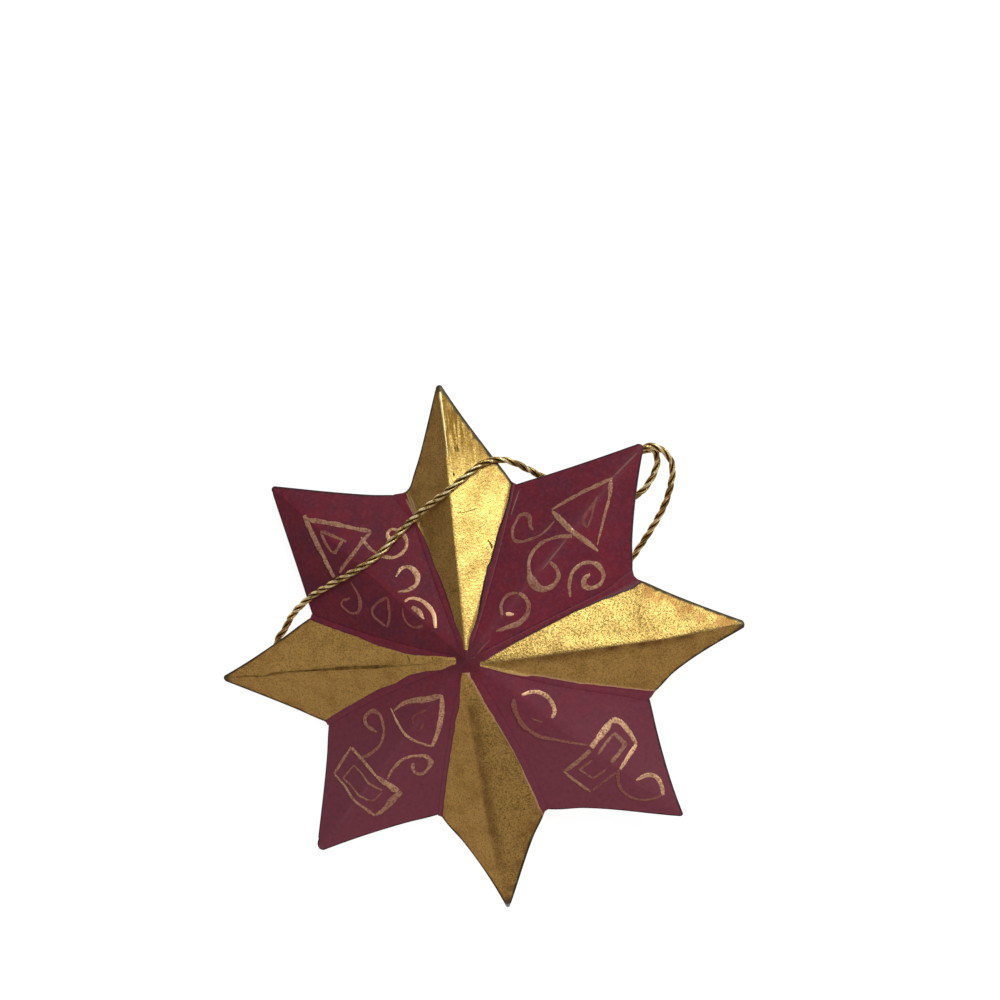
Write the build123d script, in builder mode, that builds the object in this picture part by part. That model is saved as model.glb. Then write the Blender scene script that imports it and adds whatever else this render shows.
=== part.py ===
from build123d import *
import os
from math import atan2, cos, degrees, hypot, radians, sin, tan

# Eight-pointed tin star, hollow and double-convex. Each half is one folded burgundy sheet with four points,
# and four gold points whose edge strips lap on it. The halves meet at the rim plane. The star lies on its
# back, on its rear peak and two points, at the tilt that this gives it. Sizes are in millimetres and degrees.

# Star
TIP_RADIUS = 45.0  # centre to the snipped end of a point
SNIP = 0.8  # taken off each sharp point
NOTCH_RADIUS = 29.3  # centre to the notch between two points
GOLD_HALF_ANGLE = 19.0  # half the angle between the notches beside a gold point
PEAK_HEIGHT = 9.0  # rim plane to where the ridges of either half would meet
PEAK_FLAT = 0.15  # pressed off that peak
SHEET = 0.35  # thickness of the tin
FOLD_RADIUS = 0.8  # outside radius of a ridge fold
LAP_WIDTH = 1.0  # edge strip of a gold point that lies on the burgundy sheet
HUB_RADIUS = 3.6  # burgundy left whole round the peak
HUB_LAP = 1.0  # how far a gold point's inner end lies over the hub
FIRST_ANGLE = 6.7  # direction of the right-hand gold point, anticlockwise from +X

# Cord, its slot in the back of a burgundy point, and the knot inside
CORD_DIAMETER = 1.2
CORD_SIDES = 10  # facets round the cord
STRAND_GAP = 0.2  # between the two strands in the slot
SLOT_PLAY = 0.3  # beside each strand in the slot
SLOT_LENGTH = 5.0
SLOT_INSET = 7.0  # snipped end of the point to the middle of the slot
KNOT_INSET = 15.0  # snipped end of the point to the middle of the knot
KNOT_WRAPS = 3
KNOT_CORE = 0.9  # radius of the strands that the wraps go round
LEAD_STRAIGHT = 3.0  # strand inside the slot, in line with the run outside

# The cord's route, from the slot out past the point, under the star, over two points and back to the slot
CORD_POINTS = [
    (28.2, 35.4, 12.9),
    (31.6, 34.6, 12.2),
    (33.8, 32.2, 11.4),
    (33.5, 28.6, 10.2),
    (32.1, 24.4, 8.4),
    (29.6, 20.2, 6.2),
    (26.2, 15.4, 4.0),
    (21.2, 11.6, 2.1),
    (14.6, 9.8, 0.9),
    (6.8, 9.8, 0.65),
    (-1.6, 11.4, 0.65),
    (-9.6, 12.6, 0.65),
    (-16.6, 10.4, 0.65),
    (-22.4, 6.2, 0.65),
    (-27.4, 2.4, 0.65),
    (-31.4, 0.5, 0.65),
    (-34.3, 0.2, 0.65),
    (-35.4, 2.2, 1.2),
    (-34.2, 4.6, 3.4),
    (-31.2, 7.6, 6.8),
    (-26.8, 10.8, 10.8),
    (-21.4, 14.2, 14.0),
    (-15.6, 18.4, 15.4),
    (-9.4, 24.0, 16.8),
    (-4.2, 28.6, 18.2),
    (0.8, 31.8, 17.8),
    (5.4, 33.4, 15.8),
    (9.2, 32.2, 12.6),
    (13.4, 29.2, 10.2),
    (18.6, 26.4, 9.2),
    (23.8, 25.0, 9.2),
    (28.2, 26.4, 10.2),
    (30.8, 29.2, 11.2),
    (31.0, 32.6, 12.0),
    (28.8, 33.8, 12.8),
]
ARC_SHARE = 0.45  # of the shorter run, taken by the arc at a corner of the route

# Derived sizes
FRONT, BACK = 1, -1
POINT_COUNT = 8
POINT_STEP = 360 / POINT_COUNT
CORD_POINT = 1  # upper right burgundy point
GOLD_POINTS = {"right": 0, "top": 2, "left": 4, "bottom": 6}
BURGUNDY_POINTS = [1, 3, 5, 7]
BURGUNDY_HALF_ANGLE = POINT_STEP - GOLD_HALF_ANGLE
SHARP_RADIUS = TIP_RADIUS + SNIP
RIDGE_LENGTH = hypot(SHARP_RADIUS, PEAK_HEIGHT)
ROOF_REACH = SHARP_RADIUS  # half width of a roof, well past its neighbours
ROOF_OVERRUN = SHARP_RADIUS / 4  # roof past the sharp point
TRIM_HEIGHT = 2 * PEAK_HEIGHT
TILT = degrees(atan2(PEAK_HEIGHT, SHARP_RADIUS * cos(radians(POINT_STEP / 2))))
LEAN_ANGLE = FIRST_ANGLE + 180 + POINT_STEP / 2  # between the two points that touch the table
LEAN_AXIS = Axis((0, 0, 0), (-sin(radians(LEAN_ANGLE)), cos(radians(LEAN_ANGLE)), 0))
STAR_NORMAL = Vector(0, 0, 1).rotate(LEAN_AXIS, TILT)
STAR_CENTRE = Vector(0, 0, PEAK_HEIGHT * cos(radians(TILT)))
STRAND_OFFSET = (CORD_DIAMETER + STRAND_GAP) / 2
SLOT_WIDTH = 2 * (STRAND_OFFSET + CORD_DIAMETER / 2 + SLOT_PLAY)
SLOT_RADIUS = TIP_RADIUS - SLOT_INSET
KNOT_RADIUS = TIP_RADIUS - KNOT_INSET
KNOT_LENGTH = KNOT_WRAPS * CORD_DIAMETER


def point_plane(point, side):
    """Rim plane with X along a point; its normal leaves the front or the back of the star."""
    flat = Vector(1, 0, 0).rotate(Axis.Z, FIRST_ANGLE + POINT_STEP * point)
    return Plane(origin=STAR_CENTRE, x_dir=flat.rotate(LEAN_AXIS, TILT), z_dir=STAR_NORMAL * side)


def ridge_plane(point, side):
    """Plane square to a point's ridge, through the peak, with Y up out of the fold."""
    rim = point_plane(point, side)
    peak = rim.origin + rim.z_dir * PEAK_HEIGHT
    along_ridge = rim.x_dir * SHARP_RADIUS - rim.z_dir * PEAK_HEIGHT
    return Plane(origin=peak, x_dir=rim.y_dir, z_dir=along_ridge)


def facet_slope(point):
    """Fall of a facet across the ridge, so that it meets the notch at the rim."""
    half_angle = radians(BURGUNDY_HALF_ANGLE if point in BURGUNDY_POINTS else GOLD_HALF_ANGLE)
    ridge_drop = PEAK_HEIGHT * (1 - NOTCH_RADIUS * cos(half_angle) / SHARP_RADIUS)
    return ridge_drop / (NOTCH_RADIUS * sin(half_angle)) * SHARP_RADIUS / RIDGE_LENGTH


def roof(point, side, lift, mode):
    """Roof-shaped solid under one folded point, with its two facets lifted by a distance."""
    slope = facet_slope(point)
    crest = lift * hypot(1, slope)
    eave = crest - ROOF_REACH * slope
    with BuildSketch(ridge_plane(point, side)) as fold:
        with BuildLine():
            Polyline((0, crest), (ROOF_REACH, eave), (-ROOF_REACH, eave), close=True)
        make_face()
        fillet(fold.vertices().sort_by(Axis.Y)[-1], FOLD_RADIUS + lift)
    extrude(fold.sketch, amount=RIDGE_LENGTH + ROOF_OVERRUN, mode=mode)


def burgundy_outline(side):
    """Trims the folded sheet to four points and a hub, from the rim plane up."""
    half_width = SHARP_RADIUS * tan(radians(BURGUNDY_HALF_ANGLE))
    with BuildSketch(point_plane(BURGUNDY_POINTS[0], side)) as outline:
        with PolarLocations(0, len(BURGUNDY_POINTS)):
            Polygon((0, 0), (SHARP_RADIUS, -half_width), (SHARP_RADIUS, half_width), align=None)
        Circle(HUB_RADIUS)
        Circle(TIP_RADIUS, mode=Mode.INTERSECT)
    extrude(outline.sketch, amount=TRIM_HEIGHT, mode=Mode.INTERSECT)


def gold_outline(point, side):
    """Trims a gold point to its kite and two lap strips, square at the notches, from the rim plane up."""
    half_angle = radians(GOLD_HALF_ANGLE)
    inner = HUB_RADIUS - HUB_LAP
    inner_half = inner * tan(half_angle) + LAP_WIDTH / cos(half_angle)
    notch = Vector(NOTCH_RADIUS * cos(half_angle), NOTCH_RADIUS * sin(half_angle))
    strip_corner = notch + Vector(-sin(half_angle), cos(half_angle)) * LAP_WIDTH
    with BuildSketch(point_plane(point, side)) as outline:
        with BuildLine():
            Polyline(
                (inner, 0),
                (inner, inner_half),
                strip_corner,
                notch,
                (SHARP_RADIUS, SHARP_RADIUS * tan(half_angle)),
                (SHARP_RADIUS, 0),
            )
            mirror(about=Plane.XZ)
        make_face()
        Circle(TIP_RADIUS, mode=Mode.INTERSECT)
    extrude(outline.sketch, amount=TRIM_HEIGHT, mode=Mode.INTERSECT)


def burgundy_body(side, lift):
    """Solid four-pointed star under a burgundy sheet's outer or inner face, with its peak pressed flat."""
    for point in BURGUNDY_POINTS:
        roof(point, side, lift, Mode.ADD)
    flat_height = PEAK_HEIGHT - PEAK_FLAT + lift
    split(bisect_by=point_plane(BURGUNDY_POINTS[0], side).offset(flat_height), keep=Keep.BOTTOM)


def gold_sheet(point, side):
    """Folded gold point with a strip along each edge that lies on its burgundy neighbour."""
    neighbours = [(point - 1) % POINT_COUNT, (point + 1) % POINT_COUNT]
    roof(point, side, 0, Mode.ADD)
    for neighbour in neighbours:
        roof(neighbour, side, SHEET, Mode.ADD)
    roof(point, side, -SHEET, Mode.SUBTRACT)
    for neighbour in neighbours:
        roof(neighbour, side, 0, Mode.SUBTRACT)
    gold_outline(point, side)


def slot_point(radius, offset, depth):
    """Point behind the cord's burgundy point, given along it, across it and out of its back."""
    return point_plane(CORD_POINT, BACK).from_local_coords(Vector(radius, offset, depth))


def corner_radii(points):
    """Largest arc that the two runs at each inner point of a route leave room for."""
    radii = []
    for before, corner, after in zip(points, points[1:], points[2:]):
        run_in = Vector(corner) - Vector(before)
        run_out = Vector(after) - Vector(corner)
        half_turn = radians(run_in.get_angle(run_out)) / 2
        radii.append(ARC_SHARE * min(run_in.length, run_out.length) / tan(half_turn))
    return radii


os.makedirs("parts", exist_ok=True)

# Burgundy sheets, hollowed by one sheet's thickness; the back one has the slot for the cord's strands
with BuildPart() as front_hollow:
    burgundy_body(FRONT, -SHEET)

with BuildPart() as front_burgundy_star:
    burgundy_body(FRONT, 0)
    add(front_hollow.part, mode=Mode.SUBTRACT)
    burgundy_outline(FRONT)
front_burgundy_star.part.label = "front_burgundy_star"
export_step(front_burgundy_star.part, "parts/front_burgundy_star.step")

with BuildPart() as back_hollow:
    burgundy_body(BACK, -SHEET)

with BuildPart() as back_burgundy_star:
    burgundy_body(BACK, 0)
    add(back_hollow.part, mode=Mode.SUBTRACT)
    burgundy_outline(BACK)
    with BuildSketch(point_plane(CORD_POINT, BACK)):
        with Locations((SLOT_RADIUS, 0)):
            SlotOverall(SLOT_LENGTH, SLOT_WIDTH)
    extrude(amount=PEAK_HEIGHT, mode=Mode.SUBTRACT)
back_burgundy_star.part.label = "back_burgundy_star"
export_step(back_burgundy_star.part, "parts/back_burgundy_star.step")

# Gold points, four on each half
for half_name, half_side in (("front", FRONT), ("back", BACK)):
    for place, place_point in GOLD_POINTS.items():
        with BuildPart() as gold_point:
            gold_sheet(place_point, half_side)
        gold_point.part.label = f"{half_name}_gold_point_{place}"
        export_step(gold_point.part, f"parts/{half_name}_gold_point_{place}.step")

# Hanging cord, a loop whose two ends leave the slot side by side
slot_depth = PEAK_HEIGHT * (1 - SLOT_RADIUS / SHARP_RADIUS) - SHEET / 2
first_exit = slot_point(SLOT_RADIUS, -STRAND_OFFSET, slot_depth)
last_exit = slot_point(SLOT_RADIUS, STRAND_OFFSET, slot_depth)
cord_route = [first_exit] + CORD_POINTS + [last_exit]
cord_radii = corner_radii(cord_route)
print("cord corner radii", [round(radius, 1) for radius in cord_radii])

with BuildPart() as hanging_cord:
    with BuildLine():
        cord_path = FilletPolyline(*cord_route, radius=cord_radii)
    with BuildSketch(Plane(origin=cord_path @ 0, z_dir=cord_path % 0)) as cord_section:
        RegularPolygon(CORD_DIAMETER / 2, CORD_SIDES)
    sweep()
cord_length = cord_path.length
cord_volume = cord_section.sketch.area * cord_length
print(f"cord length {cord_length:.1f}, volume {hanging_cord.part.volume:.2f} of {cord_volume:.2f}")
hanging_cord.part.label = "hanging_cord"
export_step(hanging_cord.part, "parts/hanging_cord.step")

# Knot inside the point: a barrel of wraps round the two strands, which lead to the slot
with BuildPart() as cord_knot:
    knot_plane = point_plane(CORD_POINT, FRONT)
    knot_start = KNOT_RADIUS - KNOT_LENGTH / 2
    knot_end = knot_start + KNOT_LENGTH
    with BuildSketch(knot_plane):
        with BuildLine():
            Polyline((knot_end, KNOT_CORE), (knot_end, 0), (knot_start, 0), (knot_start, KNOT_CORE))
            for wrap in range(KNOT_WRAPS):
                left = knot_start + wrap * CORD_DIAMETER
                crown = KNOT_CORE + CORD_DIAMETER / 2
                Polyline(
                    (left, KNOT_CORE),
                    (left + CORD_DIAMETER / 4, crown),
                    (left + CORD_DIAMETER * 3 / 4, crown),
                    (left + CORD_DIAMETER, KNOT_CORE),
                )
        make_face()
    revolve(axis=Axis(knot_plane.origin, knot_plane.x_dir))
    strands = ((-STRAND_OFFSET, first_exit, cord_route[1]), (STRAND_OFFSET, last_exit, cord_route[-2]))
    for offset, exit_point, outside in strands:
        inward = (exit_point - Vector(outside)).normalized()
        bend = exit_point + inward * LEAD_STRAIGHT
        lead_points = [exit_point, bend, slot_point(KNOT_RADIUS, offset / 2, 0)]
        with BuildLine():
            FilletPolyline(*lead_points, radius=corner_radii(lead_points))
        with BuildSketch(Plane(origin=exit_point, z_dir=inward)):
            RegularPolygon(CORD_DIAMETER / 2, CORD_SIDES)
        sweep()
cord_knot.part.label = "cord_knot"
export_step(cord_knot.part, "parts/cord_knot.step")
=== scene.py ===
"""Folded and painted tin star ornament with its twisted cord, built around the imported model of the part."""

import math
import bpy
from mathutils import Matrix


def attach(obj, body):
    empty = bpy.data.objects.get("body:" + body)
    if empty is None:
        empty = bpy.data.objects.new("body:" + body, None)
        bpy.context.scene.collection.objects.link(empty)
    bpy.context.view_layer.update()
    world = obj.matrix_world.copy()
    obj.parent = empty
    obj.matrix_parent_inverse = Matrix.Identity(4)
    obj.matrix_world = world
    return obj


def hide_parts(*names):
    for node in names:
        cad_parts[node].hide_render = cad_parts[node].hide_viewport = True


bl_info = {
    "name": "Painted Tin Star",
    "version": (1, 0, 0),
    "blender": (4, 5, 0),
    "location": "3D View > Sidebar > Tin Star",
    "description": "Builds a folded tin star with painted scrolls and a twisted hanging cord",
    "category": "Add Mesh",
}

from functools import cached_property

import bpy
from mathutils import Matrix, Vector, geometry, interpolate, kdtree, noise

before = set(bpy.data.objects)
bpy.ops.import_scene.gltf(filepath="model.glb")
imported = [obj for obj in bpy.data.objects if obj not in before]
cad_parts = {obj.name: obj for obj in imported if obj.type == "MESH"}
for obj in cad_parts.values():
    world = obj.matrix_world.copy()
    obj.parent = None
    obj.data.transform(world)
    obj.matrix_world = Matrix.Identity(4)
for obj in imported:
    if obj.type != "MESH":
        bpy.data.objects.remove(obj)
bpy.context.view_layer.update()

MM = 0.001
ROOT_TWO = math.sqrt(2)

# Where the star lies: on its rear peak and two points, so its plane leans
FIRST_ANGLE = math.radians(6.7)
POINT_STEP = math.radians(45)
TILT = math.radians(12.008)
LEAN = FIRST_ANGLE + math.radians(202.5)
CENTRE_HEIGHT = 8.803
LEAN_AXIS = Vector((-math.sin(LEAN), math.cos(LEAN), 0))
STAR_PLACE = Matrix.Translation((0, 0, CENTRE_HEIGHT * MM)) @ Matrix.Rotation(TILT, 4, LEAN_AXIS)

# The photograph's camera, straight above, and its focal length in pixels of a square picture
PICTURE = 1000
CAMERA_DISTANCE = 400.0
CAMERA_X = 3.99
CAMERA_Y = 25.65
FOCAL_PIXELS = 2357.6
SENSOR_WIDTH = 36.0
CAMERA_PLACE = Vector((CAMERA_X, CAMERA_Y, CENTRE_HEIGHT + CAMERA_DISTANCE)) * MM

# Points counted anticlockwise from the right: even ones gold, odd ones burgundy
GOLD_POINTS = {"right": 0, "top": 2, "left": 4, "bottom": 6}
BURGUNDY_POINTS = {"upper_right": 1, "upper_left": 3, "lower_left": 5, "lower_right": 7}
CORD_POINT = BURGUNDY_POINTS["upper_right"]
FRONT = 1
BACK = -1

# The hand-cut outline in the photograph, in pixels, anticlockwise from the right tip: a tip, then the notch
# after it, and how far the valley to that notch bulges anticlockwise half-way, in millimetres
OUTLINE = {
    "right": ((744.5, 624), (632, 577), 0.0),
    "upper_right": ((642, 445), (514, 485), -0.5),
    "top": ((438.6, 385), (408, 496), 0.3),
    "upper_left": ((272.3, 487.5), (313, 616), 0.7),
    "left": ((224, 678), (329, 723), -0.7),
    "lower_left": ((320, 848.5), (440, 814), -0.45),
    "bottom": ((508, 907), (546, 809), 0.8),
    "lower_right": ((682.5, 815), (649, 696), -0.95),
}

# How a point strays from an even one, its clockwise side first, in millimetres: rounding of its notches,
# how far its rims draw in near the notch and the tip, how far its laps stand up, what share of the even
# reach they have, how far an ear of lap sticks out at the notch and swells the rim there, what share of the
# even rounding its tip has, and how far to the anticlockwise the ridge is bowed. Then its paint and wear: how
# light each side is painted, which is painted light and shade on its facets; how strong the grain is on each
# side, set to how light falls there; the brown blush near the rim; how dark the worn ridge is; whether the
# tip is bare; the painted shade beside the ridge; and on its clockwise side the streaks and the painted shade
# that darkens it towards the tip. Last, how far its gold may spill past the crease at the notch, and the line
# where
# it ends: 1 is a dark painted shadow in the crease, -1 is a pale liner.
EVEN_GOLD = {
    "lap": (1.0, 1.0),
    "ear": (0.0, 0.0),
    "swell": (0.0, 0.0),
    "tip": 1.0,
    "bow": 0.0,
    "bare": 0.0,
    "spill": (0.0, 0.0),
}
GOLD_TRIM = {
    "right": EVEN_GOLD | {
        "notch": (0.05, 1.7),
        "waist": ((1.4, 0.4), (0.35, 0.25)),
        "rise": (0.22, 0.22),
        "lap": (1.0, 0.3),
        "ear": (0.5, 1.0),
        "swell": (0.5, 0.0),
        "tip": 1.2,
        "bow": -0.75,
        "tone": (1.12, 0.85),
        "grain": (0.75, 1.25),
        "blush": (0.5, 1.3),
        "ridge": 0.35,
        "painted_ridge_shade": {"width": (1.7, 0.01), "from": 2.0, "to": 40.0, "strength": 0.75},
        "streaks": {"from": 38.0, "strength": 0.2, "painted_tip_shade": 0.0},
        "line": (-0.9, 0.7),
    },
    "top": EVEN_GOLD | {
        "notch": (1.2, 3.4),
        "waist": ((0.25, 0.5), (0.45, 0.0)),
        "rise": (0.24, 0.26),
        "ear": (0.0, 1.7),
        "tip": 0.95,
        "tone": (1.0, 0.63),
        "grain": (0.85, 0.7),
        "blush": (0.8, 0.5),
        "ridge": 0.15,
        "painted_ridge_shade": {"width": (0.5, 0.5), "from": 10.0, "to": 20.0, "strength": 0.0},
        "streaks": {"from": 26.0, "strength": 1.0, "painted_tip_shade": 0.42},
        "spill": (0.4, 0.9),
        "line": (1.0, 0.5),
    },
    "left": EVEN_GOLD | {
        "notch": (1.1, 1.2),
        "waist": ((0.25, 0.5), (0.3, 0.1)),
        "rise": (0.24, 0.22),
        "tone": (1.05, 0.89),
        "grain": (0.8, 0.75),
        "blush": (0.5, 0.5),
        "ridge": 0.25,
        "painted_ridge_shade": {"width": (1.2, 0.01), "from": 10.0, "to": 36.0, "strength": 0.4},
        "streaks": {"from": 36.0, "strength": 0.2, "painted_tip_shade": 0.0},
        "line": (0.3, 0.2),
    },
    "bottom": EVEN_GOLD | {
        "notch": (1.2, 0.9),
        "waist": ((0.85, 0.7), (0.6, -0.1)),
        "rise": (0.14, 0.24),
        "tip": 0.65,
        "bow": -0.6,
        "tone": (0.86, 0.98),
        "grain": (0.75, 1.0),
        "blush": (0.4, 0.9),
        "ridge": 0.1,
        "bare": 1.0,
        "painted_ridge_shade": {"width": (0.9, 2.0), "from": 5.0, "to": 40.0, "strength": 0.6},
        "streaks": {"from": 38.0, "strength": 0.2, "painted_tip_shade": 0.0},
        "line": (0.3, -0.9),
    },
}
# The burgundy points' tone is painted light and shade on their facets, as on the gold ones
BURGUNDY_TRIM = {
    "upper_right": {"waist": ((0.75, 0.7), (0.2, 0.2)), "tip": 1.3, "tone": (0.98, 0.98)},
    "upper_left": {"waist": ((0.75, 0.25), (0.2, 0.0)), "tip": 0.75, "tone": (0.98, 0.76)},
    "lower_left": {"waist": ((0.4, 0.1), (0.5, 0.5)), "tip": 1.6, "tone": (0.96, 0.96)},
    "lower_right": {"waist": ((1.25, 0.1), (0.1, 0.5)), "tip": 0.65, "tone": (1.02, 1.07)},
}

# Where the gold paint of a point ends, in pixels from the notch to the hub, clockwise side first
GOLD_EDGES = {
    "right": (
        ((653, 691), (632, 689), (605, 686), (560, 681), (534, 677), (510, 674), (484, 669)),
        ((632, 589), (617, 595), (594, 604), (569, 615), (546, 627), (525, 638), (503, 650), (482, 662)),
    ),
    "top": (
        (
            (511, 488), (508, 500), (503, 518), (498, 540), (494, 554), (487, 567), (483, 585), (476, 622),
            (468, 650),
        ),
        (
            (404, 497), (409, 507), (413, 515), (420, 532), (431, 557), (440, 577), (447, 595), (455, 622),
            (464, 650),
        ),
    ),
    "left": (
        (
            (320, 621), (333, 626), (349, 632), (364, 640), (379, 646), (394, 650), (406, 654), (427, 656),
            (441, 656), (455, 657),
        ),
        (
            (329, 718), (343, 709), (361, 699), (379, 689), (396, 683), (409, 675), (427, 671), (442, 670),
            (450, 668), (456, 664),
        ),
    ),
    "bottom": (
        (
            (442, 809), (444, 794), (446, 775), (450, 754), (453, 737), (455, 721), (459, 710), (460, 694),
            (461, 680),
        ),
        (
            (542, 804), (535, 785), (525, 767), (516, 752), (504, 734), (493, 716), (484, 701), (474, 682),
            (471, 678),
        ),
    ),
}

# The cord's route in millimetres, from the slot round by the right, under the star, over it and back
CORD_ROUTE = (
    (22.58, 30.01, 14.72),
    (26.8, 34.0, 13.7),
    (29.6, 35.0, 13.5),
    (32.2, 33.4, 13.0),
    (33.2, 31.1, 11.9),
    (32.8, 27.6, 10.2),
    (31.6, 23.8, 8.4),
    (28.5, 18.5, 5.6),
    (25.2, 13.6, 3.3),
    (20.4, 10.8, 1.9),
    (14.6, 9.8, 0.9),
    (6.8, 9.8, 0.65),
    (-1.6, 11.4, 0.65),
    (-9.6, 12.6, 0.65),
    (-16.6, 10.4, 0.65),
    (-22.4, 6.2, 0.65),
    (-27.8, 2.4, 0.65),
    (-31.8, 0.0, 0.65),
    (-34.4, -0.6, 0.65),
    (-34.9, 1.2, 0.65),
    (-33.0, 3.5, 1.4),
    (-32.0, 5.8, 3.0),
    (-28.4, 9.2, 5.8),
    (-24.2, 11.6, 9.3),
    (-20.4, 13.7, 11.8),
    (-16.5, 16.1, 12.2),
    (-12.8, 20.4, 11.9),
    (-8.7, 24.2, 13.1),
    (-4.6, 27.2, 15.2),
    (-1.3, 30.0, 14.9),
    (1.3, 32.1, 14.0),
    (5.1, 32.6, 13.2),
    (9.3, 30.5, 11.9),
    (13.4, 28.4, 10.2),
    (18.6, 26.0, 9.2),
    (23.6, 24.9, 9.2),
    (27.6, 26.5, 10.2),
    (29.5, 29.0, 10.8),
    (30.6, 31.7, 11.5),
    (30.3, 34.2, 11.9),
    (27.5, 34.0, 12.2),
    (26.2, 31.6, 13.2),
    (23.68, 29.15, 14.84),
)

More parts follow.
